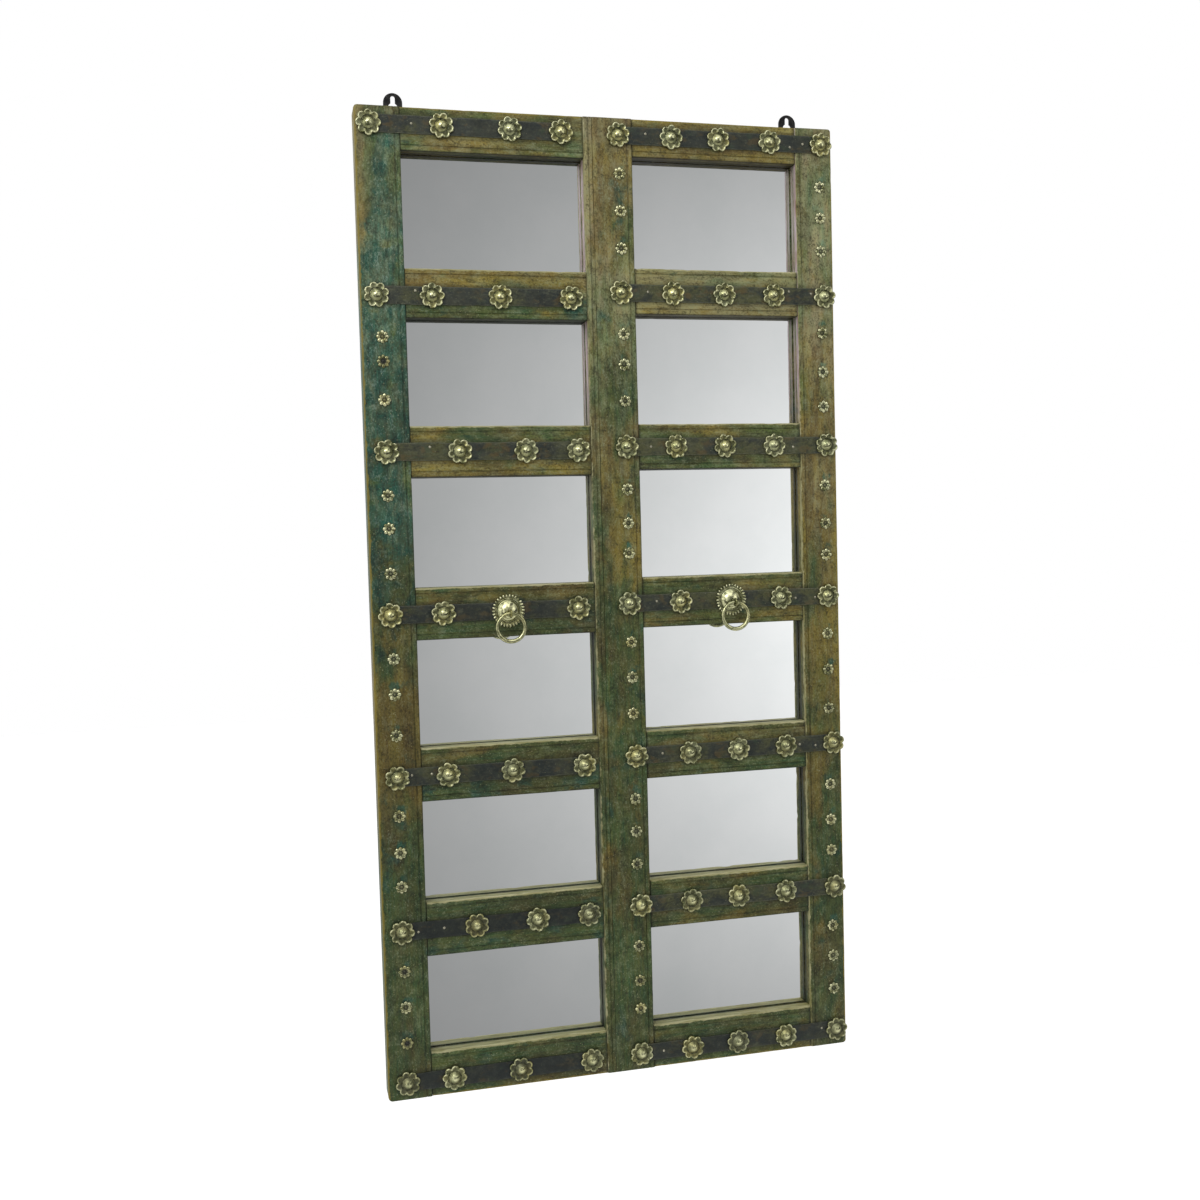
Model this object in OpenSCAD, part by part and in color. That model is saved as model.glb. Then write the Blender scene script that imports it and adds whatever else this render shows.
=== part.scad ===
// A tall wall mirror made from a pair of old panelled door leaves.
// Tenoned rails and stiles hold twelve panes from behind, an iron strap crosses every
// rail, and cupped flower bosses, rosettes and two ring pulls dress the front.
// The front faces -Y and +Z is up. The origin is the middle of the back, on the wall.

/* [Leaves] */
// Height of both leaves
leaf_h = 1780; // [1560:10:2000]
// Thickness of every stile and rail
frame_t = 42; // [38:1:56]
// Width between stile and meeting strip in the left leaf
left_open_w = 331; // [280:1:400]
// Width between the stiles of the right leaf
right_open_w = 321; // [280:1:400]
// Height of the top and bottom rails
end_rail_h = 80; // [72:1:110]
// Height of the inner rails of the left leaf
left_rail_h = 92; // [78:1:110]
// Height of the inner rails of the right leaf
right_rail_h = 88; // [78:1:110]

/* [Stiles] */
// Width of the left outer stile
left_stile_w = 80; // [70:1:110]
// Width of the left meeting stile that the right leaf leaves open
meeting_strip_w = 17; // [14:1:40]
// Width of the right meeting stile
meeting_stile_w = 76; // [70:1:110]
// Width of the right outer stile
right_stile_w = 75; // [70:1:110]
// Width of the lap of one meeting stile over the other
lap_w = 33; // [24:1:36]
// Depth of the lap from the front
lap_d = 22; // [18:1:26]
// Open seam between the two leaves
seam_gap = 0.6; // [0.4:0.1:2]
// Corner radius at the top outer corners
top_corner_r = 7; // [2:0.5:12]
// Corner radius at the bottom outer corners
bottom_corner_r = 8; // [2:0.5:12]

/* [Mouldings] */
// Width of the bead along each opening
bead_w = 10; // [7:0.5:12]
// Radius of the groove behind the bead
quirk_r = 1; // [0.8:0.1:2.2]
// Rounding of the bead at the opening
bead_r = 2; // [1:0.5:5]
// Rounding of the outer long edges
outer_ease_r = 3; // [1:0.5:6]

/* [Joints of the woodwork] */
// Thickness of the tenons
tenon_t = 12; // [9:0.5:13]
// Wood between the tenons and the back
tenon_back = 4; // [3:0.5:5]
// Height cut off a rail above and below its tenon
tenon_shoulder = 8; // [5:1:14]
// Length of the tenons in the meeting stiles
meeting_tenon_l = 26; // [18:1:28]
// Clearance round a tenon in its mortise
tenon_gap = 0.2; // [0.1:0.05:0.4]

/* [Panes] */
// Width of the rebate behind each opening
rebate_w = 10; // [8:0.5:12]
// Depth of the rebate from the back
rebate_d = 18; // [17.5:0.5:19]
// Thickness of the mirror panes
pane_t = 4; // [3:0.5:5]
// Thickness of the backing boards
board_t = 3; // [2:0.5:4]
// Gap between the edge of a pane and its rebate
pane_gap = 0.8; // [0.5:0.1:1.5]
// Width of the glazing beads
glazing_w = 9; // [7:0.5:12]
// Depth of the glazing beads
glazing_t = 8; // [6:0.5:9]
// Gap at the mitres of the glazing beads
mitre_gap = 0.3; // [0.1:0.1:1]

/* [Straps] */
// Width of the iron straps
strap_w = 33; // [28:1:44]
// Thickness of the iron straps
strap_t = 2; // [1.5:0.25:3]
// Middle of the end straps from the end of the leaf
end_strap_inset = 31; // [26:1:44]
// Overrun of a strap past its last boss
strap_overrun = 13; // [8:1:15]
// Corner radius at the ends of the straps
strap_corner_r = 4; // [2:0.5:8]
// Radius of the nail heads
nail_r = 2.2; // [1.6:0.2:3]
// Height of the nail heads
nail_h = 1.1; // [0.6:0.1:2]

/* [Flower bosses] */
// Number of petals
petals = 8; // [6:1:10]
// Radius to the middle of a petal
petal_ring_r = 15.4; // [14:0.2:18]
// Radius of a petal
petal_r = 7.4; // [6.4:0.1:8]
// Height of a petal's rim
petal_h = 3.6; // [2.5:0.1:5]
// Radius of the cup pressed into a petal
petal_cup_r = 5.6; // [4:0.1:6]
// Depth of the cup pressed into a petal
petal_cup_d = 1.8; // [1:0.1:2.4]
// Width of a petal's rim at its tip
petal_rim_w = 0.8; // [0.5:0.1:1.6]
// Radius of the dome in the middle
boss_dome_r = 10.8; // [8:0.1:11]
// Height of the dome above the strap
boss_dome_h = 9; // [6:0.1:12]
// First boss of the left leaf from the outer edge
left_boss_start = 35; // [30:1:50]
// Last boss of the left leaf from the opening's edge
left_boss_end = 31; // [28:1:60]
// First boss of the right leaf from the seam
right_boss_start = 51; // [44:1:56]
// Last boss of the right leaf from the outer edge
right_boss_end = 21; // [20:1:40]

/* [Rosettes] */
// Number of beads round a rosette
rosette_beads = 8; // [6:1:9]
// Radius to the middle of a bead
rosette_ring_r = 9; // [8.6:0.1:10]
// Radius of a bead
rosette_bead_r = 2.7; // [2:0.1:2.8]
// Radius of the plate under the beads
rosette_plate_r = 10; // [9.6:0.1:10.6]
// Thickness of the plate under the beads
rosette_plate_t = 1; // [0.6:0.1:1.6]
// Radius of the button in the middle
rosette_button_r = 3.6; // [2:0.1:4.5]
// Rosettes of the left stile from the outer edge
left_rosette_inset = 37; // [26:1:44]
// Rosettes of the middle stile from the seam
middle_rosette_inset = 51; // [40:1:56]
// Rosettes of the right stile from the outer edge
right_rosette_inset = 25; // [20:1:40]

/* [Ring pulls] */
// Radius of the ring pull's plate inside its beads' tips
plate_r = 27; // [25:0.1:29]
// Thickness of the plate at its rim
plate_t = 1.6; // [1:0.1:2]
// Number of beads round the plate
plate_beads = 30; // [24:1:32]
// Radius to the middle of a bead on the plate's rim
plate_ring_r = 27.8; // [27.5:0.1:30]
// Radius of a bead on the plate's rim
plate_bead_r = 2.5; // [2.2:0.1:2.6]
// Radius of the plate's dome
plate_dome_r = 21; // [18:0.5:23]
// Height of the plate's dome above the strap
plate_dome_h = 12; // [9:0.5:13]
// Radius to the middle of the ring's wire
ring_r = 25.2; // [23:0.1:30]
// Radius of the ring's wire
ring_wire_r = 4; // [3:0.1:4.4]
// Clearance of the ring's wire in its eye
eye_gap = 0.6; // [0.4:0.1:1]
// Radius of the eye's wire
eye_wire_r = 1.9; // [1.5:0.1:2.4]
// Middle of the eye above the strap
eye_reach = 25; // [24:0.5:32]
// Middle of the eye below the middle of the plate
eye_drop = 4; // [2:0.5:5]
// Radius of the eye's shank
shank_r = 2.5; // [2:0.1:3]
// Depth of the shank in the rail
shank_depth = 20; // [14:1:24]
// Clearance round the shank
shank_gap = 0.1; // [0.05:0.05:0.4]

/* [Hanging plates] */
// Width of the hanging plates
hanger_w = 34; // [28:1:40]
// Thickness of the hanging plates
hanger_t = 2.5; // [2:0.25:4]
// Middle of each hanging plate from the outer edge
hanger_inset = 73; // [60:1:110]
// Rise of the hanging plates above the leaves
hanger_rise = 35.5; // [26:0.5:40]
// Reach of the hanging plates below the top of the leaves
hanger_tail = 46; // [40:1:60]
// Radius of the keyhole's round part
keyhole_r = 8.5; // [6:0.1:9]
// Middle of the keyhole's round part above the leaves
keyhole_rise = 10; // [9.5:0.1:14]
// Width of the keyhole's slot
keyslot_w = 8; // [5:0.1:9]
// Wall left above the keyhole's slot
keyhole_wall = 5; // [4:0.5:8]
// Clearance round a hanging plate in its recess
hanger_gap = 0.3; // [0.2:0.1:1]

/* [Screws] */
// Radius of the countersunk screw heads
screw_head_r = 4; // [3.2:0.1:4.4]
// Depth of the countersink
screw_head_d = 2.4; // [1.8:0.1:2.4]
// Radius of the screw shanks
screw_r = 2; // [1.5:0.1:2.6]
// Length of the screws in the hanging plates
hanger_screw_l = 28; // [20:1:32]
// Pitch of the screws in a hanging plate
hanger_screw_pitch = 20; // [14:1:28]
// First screw of a hanging plate below the top of the leaves
hanger_screw_drop = 14; // [10:1:18]
// Length of the screws through the lap
lap_screw_l = 33; // [28:1:35]
// Clearance round a screw in its hole
screw_gap = 0.1; // [0.05:0.05:0.3]

/* [Hidden] */
$fn = 48;
eps = 0.01;
over = 5;
row_count = 7;
bay_count = row_count - 1;
last_row = row_count - 1;
pull_row = 3;
pull_boss = 2;
LEFT = 0;
RIGHT = 1;

// How far each rail sits below even spacing, top to bottom, as the leaves were built by hand
left_rail_drop = [0, 6, -1, 6, 16, 14, 0];
right_rail_drop = [0, -6, -6, 2, 6, 7, 0];

// How much further each rail reaches up and down than an even one
left_rail_more_up = [0, 2.5, 0, 0.5, 4.5, 3.5, 2];
left_rail_more_down = [-4, -6.5, -0.5, 1.5, 1, 3.5, 0];
right_rail_more_up = [0, 2, -1.5, 3.5, 1.5, 1.5, 1.5];
right_rail_more_down = [-11, -5.5, -2, 2.5, 1, 2.5, 0];

// How far each boss was nailed right of even spacing, row by row, top to bottom
left_boss_shift = [
  [-10, 3, 11, -10], [-6, -23, -15, 1], [2, 18, 24, 7], [-1, -21, -18, -1],
  [1, -22, -18, 2], [0, 21, 20, 3], [1, -29, -20, 1]
];
right_boss_shift = [
  [-2, 0, -8, -6, -2], [-3, -3, -2, -3, 1], [0, -4, -7, -8, 0], [-2, -2, -2, 0, -3],
  [4, 10, 7, 4, 3], [5, 6, 1, -2, 1], [-1, 1, -7, -8, -1]
];

// The nails left in each strap: the boss that each is nearest, counted from 0, how far right of it
// the nail is, and how far above the strap's middle line
left_nails = [
  [[1, -53, 2]], [[1, -29.5, 8.5]], [[1, -54, 8.5]], [], [[0, 26, 3.5], [1, -30, 3.5]],
  [[0, 29, -2], [1, -60, 1]], []
];
right_nails = [
  [[1, -49, 4.5], [3, 42, -7], [4, -36, 0]], [[1, -48.5, 2.5], [3, 31.5, 8.5], [4, -27, 5]],
  [[0, 47, 0], [3, 39, -3]], [[1, -47, 2.5], [3, 30.5, -2], [4, -26, -2]],
  [[0, 51, 1.5], [3, 29, 0.5], [4, -37, -3.5]], [], [[0, 44, -0.5], [4, -31, 4.5]]
];

// The turn between two leaves, two rows and two bosses that lie beside each other
boss_turns = [13, 17, 29];

// How far each rosette sits below the middle of its bay; the left stile's top bay has none
left_rosette_drop = [
  [], [-65, -22, 46], [-68, -9, 71], [-68, -4, 70], [-71, -4, 58], [-65, 1, 67]
];
middle_rosette_drop = [
  [-76, -8, 60], [-66, -10, 57], [-67, -4, 52], [-71, -5, 63], [-61, 1, 63], [-62, 5, 59]
];
right_rosette_drop = [
  [-66, -8, 55], [-72, 2, 68], [-68, 5, 66], [-70, 0, 76], [-60, 10, 70], [-62, -2, 64]
];

// Lines across the mirror, left to right
mirror_w = left_stile_w + left_open_w + meeting_strip_w
         + meeting_stile_w + right_open_w + right_stile_w;
x_left = -mirror_w / 2;
x_left_open = x_left + left_stile_w;
x_strip = x_left_open + left_open_w;
x_seam = x_strip + meeting_strip_w;
x_lap = x_seam + lap_w;
x_right_open = x_seam + meeting_stile_w;
x_right_stile = x_right_open + right_open_w;
x_right = mirror_w / 2;
z_top = leaf_h / 2;

function open_x0(leaf) = leaf == LEFT ? x_left_open : x_right_open;
function open_x1(leaf) = leaf == LEFT ? x_strip : x_right_stile;

// Lines up the mirror; row 0 is the top rail
function is_end(row) = row == 0 || row == last_row;
function rail_h(leaf, row) = is_end(row) ? end_rail_h : leaf == LEFT ? left_rail_h : right_rail_h;
function rail_drop(leaf, row) = leaf == LEFT ? left_rail_drop[row] : right_rail_drop[row];
function even_z(row) = z_top - end_rail_h / 2 - row * (leaf_h - end_rail_h) / last_row;
function rail_z(leaf, row) = even_z(row) - rail_drop(leaf, row);
function more_up(leaf, row) = leaf == LEFT ? left_rail_more_up[row] : right_rail_more_up[row];
function more_down(leaf, row) = leaf == LEFT ? left_rail_more_down[row] : right_rail_more_down[row];
function even_lo(leaf, row) = rail_z(leaf, row) - rail_h(leaf, row) / 2;
function even_hi(leaf, row) = rail_z(leaf, row) + rail_h(leaf, row) / 2;
function rail_lo(leaf, row) = even_lo(leaf, row) - more_down(leaf, row);
function rail_hi(leaf, row) = even_hi(leaf, row) + more_up(leaf, row);
function back_lo(leaf, row) = rail_lo(leaf, row) + (row == last_row ? 0 : rebate_w);
function back_hi(leaf, row) = rail_hi(leaf, row) - (row == 0 ? 0 : rebate_w);
function tenon_lo(leaf, row) = back_lo(leaf, row) + tenon_shoulder;
function tenon_hi(leaf, row) = back_hi(leaf, row) - tenon_shoulder;
function bay_z(leaf, bay) = (even_lo(leaf, bay) + even_hi(leaf, bay + 1)) / 2;

// Straps and bosses
function strap_z(leaf, row) =
  row == 0 ? z_top - end_strap_inset :
  row == last_row ? -z_top + end_strap_inset : rail_z(leaf, row);
function last_boss(leaf) = leaf == LEFT ? 3 : 4;
function boss_start(leaf) = leaf == LEFT ? x_left + left_boss_start : x_seam + right_boss_start;
function boss_end(leaf) = leaf == LEFT ? x_strip - left_boss_end : x_right - right_boss_end;
function boss_shift(leaf, row, k) =
  leaf == LEFT ? left_boss_shift[row][k] : right_boss_shift[row][k];
function boss_x(leaf, row, k) = boss_start(leaf) + boss_shift(leaf, row, k)
  + k * (boss_end(leaf) - boss_start(leaf)) / last_boss(leaf);
function has_pull(row, k) = row == pull_row && k == pull_boss;
function strap_x0(leaf, row) = boss_x(leaf, row, 0) - strap_overrun;
function strap_x1(leaf, row) = boss_x(leaf, row, last_boss(leaf)) + strap_overrun;
function pull_x(leaf) = boss_x(leaf, pull_row, pull_boss);
function pull_z(leaf) = strap_z(leaf, pull_row);

// Depths from the wall
front = frame_t;
strap_front = front + strap_t;
board_back = rebate_d - pane_t - board_t;

// The eye hangs below the middle of its plate, and its hole takes the ring's wire
eye_y = strap_front + eye_reach;
eye_hole_r = ring_wire_r + eye_gap;
eye_mid_r = eye_hole_r + eye_wire_r;
shank_hole_r = shank_r + shank_gap;
shank_inset = eye_wire_r / 2; // how far the shank runs into the eye's wire
function eye_z(leaf) = pull_z(leaf) - eye_drop;

hanger_head_r = hanger_w / 2;
lap_screw_x = (x_seam + x_lap) / 2;
function hanger_x(side) = side == LEFT ? x_left + hanger_inset : x_right - hanger_inset;
function hanger_screw_z(n) = z_top - hanger_screw_drop - n * hanger_screw_pitch;
function lap_screw_z(bay) = (bay_z(LEFT, bay) + bay_z(RIGHT, bay)) / 2;

timber = [0.27, 0.35, 0.24];
worn_timber = [0.45, 0.34, 0.18];
iron = [0.14, 0.15, 0.17];
old_brass = [0.66, 0.62, 0.36];
silvered = [0.80, 0.81, 0.83];
black_steel = [0.06, 0.06, 0.07];

function numbered(stem, count) = [for (i = [1:count]) str(stem, i)];

// ---- Placing ----

// Puts children that stand up in +Z on a plane in front of the wall, facing out
module on_face(x, depth, z) {
  translate([x, -depth, z]) rotate([90, 0, 0]) children();
}

// A block between two corners, with its depths measured from the wall
module block(x0, x1, d0, d1, z0, z1) {
  translate([x0, -d1, z0]) cube([x1 - x0, d1 - d0, z1 - z0]);
}

// ---- Sections of the timber, with the wall at y = 0 and the front at y = -frame_t ----

// What rounding takes off a corner at the origin of material in -X, +Y
module corner_cut(r) {
  difference() {
    translate([-r, -over]) square([r + over, r + over]);
    translate([-r, r]) circle(r);
  }
}

// What the opening's side of a section loses, with the opening at x >= 0
module opening_cuts() {
  translate([-rebate_w, -rebate_d]) square([rebate_w + over, rebate_d + over]);
  translate([-bead_w, -frame_t]) circle(quirk_r);
  translate([0, -frame_t]) corner_cut(bead_r);
}

// A stile's section from its outer edge at x = 0 to its opening edge at x = w
module outer_stile_section(w) {
  difference() {
    translate([0, -frame_t]) square([w, frame_t]);
    translate([w, 0]) opening_cuts();
    translate([0, -frame_t]) mirror([1, 0]) corner_cut(outer_ease_r);
  }
}

// A rail's section, x across its height h, with openings above, below or both
module rail_section(h, above, below) {
  difference() {
    translate([0, -frame_t]) square([h, frame_t]);
    if (above) translate([h, 0]) opening_cuts();
    if (below) mirror([1, 0]) opening_cuts();
    if (!above) translate([h, -frame_t]) corner_cut(outer_ease_r);
    if (!below) translate([0, -frame_t]) mirror([1, 0]) corner_cut(outer_ease_r);
  }
}

// ---- Timber ----

// A tenon of one rail, or its mortise with a clearance
module tenon(leaf, row, x0, x1, gap = 0) {
  block(x0, x1, tenon_back - gap, tenon_back + tenon_t + gap,
        tenon_lo(leaf, row) - gap, tenon_hi(leaf, row) + gap);
}

module mortises(leaf, x0, x1) {
  for (row = [0:last_row]) tenon(leaf, row, x0, x1, tenon_gap);
}

// Takes the outer corners off a stile whose outer edge is at x = 0 and which lies in +X
module corner_roundings() {
  for (end = [[1, top_corner_r], [-1, bottom_corner_r]])
    translate([0, over, end[0] * z_top])
      mirror([0, 0, end[0] > 0 ? 1 : 0])
        rotate([90, 0, 0]) linear_extrude(frame_t + 2 * over)
          mirror([1, 0]) corner_cut(end[1]);
}

module outer_stile(w) {
  difference() {
    translate([0, 0, -z_top]) linear_extrude(leaf_h) outer_stile_section(w);
    corner_roundings();
  }
}

module left_outer_stile() {
  color(timber)
    difference() {
      translate([x_left, 0, 0]) outer_stile(left_stile_w);
      mortises(LEFT, x_left - over, x_left_open + over);
      hanger_recess(LEFT);
      hanger_screw_holes(LEFT);
    }
}

module right_outer_stile() {
  color(timber)
    difference() {
      translate([x_right, 0, 0]) mirror([1, 0, 0]) outer_stile(right_stile_w);
      mortises(RIGHT, x_right_stile - over, x_right + over);
      hanger_recess(RIGHT);
      hanger_screw_holes(RIGHT);
    }
}

// The left leaf's meeting stile: a narrow strip in front and a tongue behind the other leaf
module left_meeting_stile() {
  color(timber)
    difference() {
      translate([x_strip, 0, -z_top]) linear_extrude(leaf_h)
        difference() {
          union() {
            translate([0, -frame_t]) square([meeting_strip_w, frame_t]);
            translate([0, -(frame_t - lap_d)])
              square([meeting_strip_w + lap_w, frame_t - lap_d]);
          }
          mirror([1, 0]) opening_cuts();
        }
      mortises(LEFT, x_strip - over, x_strip + rebate_w + meeting_tenon_l + tenon_gap);
      lap_screw_holes();
    }
}

// The right leaf's meeting stile: its front half laps over the left leaf
module right_meeting_stile() {
  color(worn_timber)
    difference() {
      translate([x_right_open, 0, -z_top]) linear_extrude(leaf_h)
        difference() {
          translate([seam_gap - meeting_stile_w, -frame_t])
            square([meeting_stile_w - seam_gap, frame_t]);
          translate([-meeting_stile_w - over, lap_d - frame_t])
            square([lap_w + seam_gap + over, frame_t - lap_d + over]);
          opening_cuts();
        }
      mortises(RIGHT, x_right_open - rebate_w - meeting_tenon_l - tenon_gap,
               x_right_open + over);
      lap_screw_holes();
    }
}

// A rail between the stiles of its leaf. Its back runs on into the stiles' rebates, and
// its tenons run through an outer stile and stop inside a meeting stile.
module rail(leaf, row) {
  x0 = open_x0(leaf);
  x1 = open_x1(leaf);
  tenon_x0 = leaf == LEFT ? x_left : x0 - rebate_w - meeting_tenon_l;
  tenon_x1 = leaf == RIGHT ? x_right : x1 + rebate_w + meeting_tenon_l;
  z = rail_lo(leaf, row);
  h = rail_hi(leaf, row) - z;
  color(timber)
    difference() {
      union() {
        block(x0 - rebate_w, x1 + rebate_w, 0, rebate_d, back_lo(leaf, row), back_hi(leaf, row));
        translate([x0, 0, z]) rotate([90, 0, 90]) linear_extrude(x1 - x0)
          rotate(90) mirror([0, 1]) rail_section(h, row > 0, row < last_row);
        tenon(leaf, row, tenon_x0, tenon_x1);
      }
      if (row == 0) {
        hanger_recess(leaf);
        hanger_screw_holes(leaf);
      }
      if (row == pull_row) shank_hole(leaf, strap_front);
    }
}

// ---- Panes ----

// The outline that a pane, its board and its beads share in their rebate
function pane_x0(leaf) = open_x0(leaf) - rebate_w + pane_gap;
function pane_x1(leaf) = open_x1(leaf) + rebate_w - pane_gap;
function pane_z0(leaf, bay) = rail_hi(leaf, bay + 1) - rebate_w + pane_gap;
function pane_z1(leaf, bay) = rail_lo(leaf, bay) + rebate_w - pane_gap;

module mirror_pane(leaf, bay) {
  color(silvered)
    block(pane_x0(leaf), pane_x1(leaf), rebate_d - pane_t, rebate_d,
          pane_z0(leaf, bay), pane_z1(leaf, bay));
}

module backing_boards() {
  color("tan")
    for (leaf = [LEFT, RIGHT], bay = [0:bay_count - 1])
      block(pane_x0(leaf), pane_x1(leaf), board_back, board_back + board_t,
            pane_z0(leaf, bay), pane_z1(leaf, bay));
}

// One mitred glazing bead along +X, its outer edge on y = 0
module glazing_bead(length) {
  x0 = mitre_gap;
  x1 = length - mitre_gap;
  linear_extrude(glazing_t)
    polygon([[x0, 0], [x1, 0], [x1 - glazing_w, glazing_w], [x0 + glazing_w, glazing_w]]);
}

// Four beads round one board
module glazing_frame(leaf, bay) {
  w = pane_x1(leaf) - pane_x0(leaf);
  h = pane_z1(leaf, bay) - pane_z0(leaf, bay);
  on_face(pane_x0(leaf), board_back - glazing_t, pane_z0(leaf, bay)) {
    glazing_bead(w);
    translate([w, h, 0]) rotate(180) glazing_bead(w);
    translate([w, 0, 0]) rotate(90) glazing_bead(h);
    translate([0, h, 0]) rotate(-90) glazing_bead(h);
  }
}

module glazing_beads() {
  color("burlywood")
    for (leaf = [LEFT, RIGHT], bay = [0:bay_count - 1])
      glazing_frame(leaf, bay);
}

// ---- Ironwork ----

// A solid of revolution under a circle's arc, base radius r and height h
module dome(r, h) {
  sphere_r = (r * r + h * h) / (2 * h);
  rotate_extrude()
    intersection() {
      translate([0, h - sphere_r]) circle(sphere_r);
      square([r + over, h + over]);
    }
}

module strap(leaf, row) {
  length = strap_x1(leaf, row) - strap_x0(leaf, row);
  color(iron)
    difference() {
      on_face(strap_x0(leaf, row), front, strap_z(leaf, row))
        linear_extrude(strap_t)
          difference() {
            translate([0, -strap_w / 2]) square([length, strap_w]);
            for (up = [0, 1]) mirror([0, up]) {
              translate([length, -strap_w / 2]) corner_cut(strap_corner_r);
              translate([0, -strap_w / 2]) mirror([1, 0]) corner_cut(strap_corner_r);
            }
          }
      if (row == pull_row) shank_hole(leaf, strap_front + over);
    }
}

function nails(leaf, row) = leaf == LEFT ? left_nails[row] : right_nails[row];

// The nail heads that are left in the straps
module strap_nails() {
  color(iron)
    for (leaf = [LEFT, RIGHT], row = [0:last_row], nail = nails(leaf, row)) {
      on_face(boss_x(leaf, row, nail[0]) + nail[1], strap_front, strap_z(leaf, row) + nail[2])
        dome(nail_r, nail_h);
    }
}

// ---- Brass ----

// A flower of cupped petals round a dome
module flower_boss() {
  cup_ball_r = (petal_cup_r * petal_cup_r + petal_cup_d * petal_cup_d) / (2 * petal_cup_d);
  cup_ring_r = petal_ring_r + petal_r - petal_rim_w - petal_cup_r;
  difference() {
    linear_extrude(petal_h) {
      circle(petal_ring_r);
      for (k = [0:petals - 1]) rotate(k * 360 / petals) translate([petal_ring_r, 0]) circle(petal_r);
    }
    for (k = [0:petals - 1])
      rotate(k * 360 / petals)
        translate([cup_ring_r, 0, petal_h - petal_cup_d + cup_ball_r]) sphere(cup_ball_r);
  }
  dome(boss_dome_r, boss_dome_h);
}

// Bosses were nailed on at any angle, so each row and place has a turn of its own
function boss_turn(leaf, row, k) = (boss_turns * [leaf, row, k]) % (360 / petals);

module bosses(leaf) {
  color(old_brass)
    for (row = [0:last_row], k = [0:last_boss(leaf)])
      if (!has_pull(row, k))
        on_face(boss_x(leaf, row, k), strap_front, strap_z(leaf, row))
          rotate(boss_turn(leaf, row, k)) flower_boss();
}

// A ring of beads on a thin plate round a low button
module rosette() {
  cylinder(r = rosette_plate_r, h = rosette_plate_t);
  dome(rosette_button_r, rosette_button_r);
  bead_ring(rosette_beads, rosette_ring_r, rosette_bead_r);
}

module bead_ring(count, ring, bead) {
  for (k = [0:count - 1])
    rotate(k * 360 / count) translate([ring, 0, 0]) dome(bead, bead);
}

module rosette_column(leaf, x, drops) {
  for (bay = [0:bay_count - 1], drop = drops[bay])
    on_face(x, front, bay_z(leaf, bay) - drop) rosette();
}

module rosettes() {
  color(old_brass) {
    rosette_column(LEFT, x_left + left_rosette_inset, left_rosette_drop);
    rosette_column(RIGHT, x_seam + middle_rosette_inset, middle_rosette_drop);
    rosette_column(RIGHT, x_right - right_rosette_inset, right_rosette_drop);
  }
}

// ---- Ring pulls ----

// The hole for an eye's shank, open at a given depth and blind in the rail
module shank_hole(leaf, mouth) {
  bottom = front - shank_depth - shank_gap;
  on_face(pull_x(leaf), bottom, pull_z(leaf)) cylinder(r = shank_hole_r, h = mouth - bottom + over);
}

module ring_plate(leaf) {
  color(old_brass)
    difference() {
      on_face(pull_x(leaf), strap_front, pull_z(leaf)) {
        cylinder(r = plate_r, h = plate_t);
        dome(plate_dome_r, plate_dome_h);
        bead_ring(plate_beads, plate_ring_r, plate_bead_r);
      }
      shank_hole(leaf, strap_front + plate_dome_h);
    }
}

// A drawn loop on a shank, its hole along X for the ring
module ring_eye(leaf) {
  shank_bottom = front - shank_depth;
  shank_top = eye_y - eye_mid_r + shank_inset;
  color(old_brass) {
    translate([pull_x(leaf), -eye_y, eye_z(leaf)]) rotate([0, 90, 0])
      rotate_extrude() translate([eye_mid_r, 0]) circle(eye_wire_r);
    on_face(pull_x(leaf), shank_bottom, pull_z(leaf)) cylinder(r = shank_r, h = shank_top - shank_bottom);
  }
}

// A ring that hangs flat in front of the plate, its wire through the eye
module pull_ring(leaf) {
  color(old_brass)
    translate([pull_x(leaf), -eye_y, eye_z(leaf) - ring_r]) rotate([90, 0, 0])
      rotate_extrude() translate([ring_r, 0]) circle(ring_wire_r);
}

// ---- Hanging plates and screws ----

// A plate's outline, grown all round by a clearance
module hanger_outline(gap = 0) {
  r = hanger_head_r + gap;
  translate([0, hanger_rise - hanger_head_r]) circle(r);
  translate([-r, -hanger_tail - gap]) square([2 * r, hanger_tail + gap + hanger_rise - hanger_head_r]);
}

// The keyhole: a round part for a screw's head under a slot for its shank
module keyhole() {
  slot_top = hanger_rise - keyhole_wall;
  translate([0, keyhole_rise]) circle(keyhole_r);
  translate([0, slot_top - keyslot_w / 2]) circle(keyslot_w / 2);
  translate([-keyslot_w / 2, keyhole_rise]) square([keyslot_w, slot_top - keyslot_w / 2 - keyhole_rise]);
}

module hanger_recess(side) {
  on_face(hanger_x(side), -over, z_top)
    linear_extrude(hanger_t + over) hanger_outline(hanger_gap);
}

module hanger(side) {
  color(black_steel)
    difference() {
      on_face(hanger_x(side), 0, z_top)
        linear_extrude(hanger_t)
          difference() {
            hanger_outline();
            keyhole();
          }
      hanger_screw_holes(side);
    }
}

// A countersunk screw from the back, its head flush with the wall side; a hole with a gap
module screw(length, gap = 0) {
  cylinder(r1 = screw_head_r + gap, r2 = screw_r + gap, h = screw_head_d);
  cylinder(r = screw_r + gap, h = length + gap);
  if (gap > 0) translate([0, 0, -over]) cylinder(r = screw_head_r + gap, h = over + eps);
}

module hanger_screw_holes(side) {
  for (n = [0, 1])
    on_face(hanger_x(side), 0, hanger_screw_z(n)) screw(hanger_screw_l, screw_gap);
}

module hanger_screws() {
  color("silver")
    for (side = [LEFT, RIGHT], n = [0, 1])
      on_face(hanger_x(side), 0, hanger_screw_z(n)) screw(hanger_screw_l);
}

module lap_screw_holes() {
  for (bay = [0:bay_count - 1])
    on_face(lap_screw_x, 0, lap_screw_z(bay)) screw(lap_screw_l, screw_gap);
}

module lap_screws() {
  color("silver")
    for (bay = [0:bay_count - 1])
      on_face(lap_screw_x, 0, lap_screw_z(bay)) screw(lap_screw_l);
}

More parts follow.
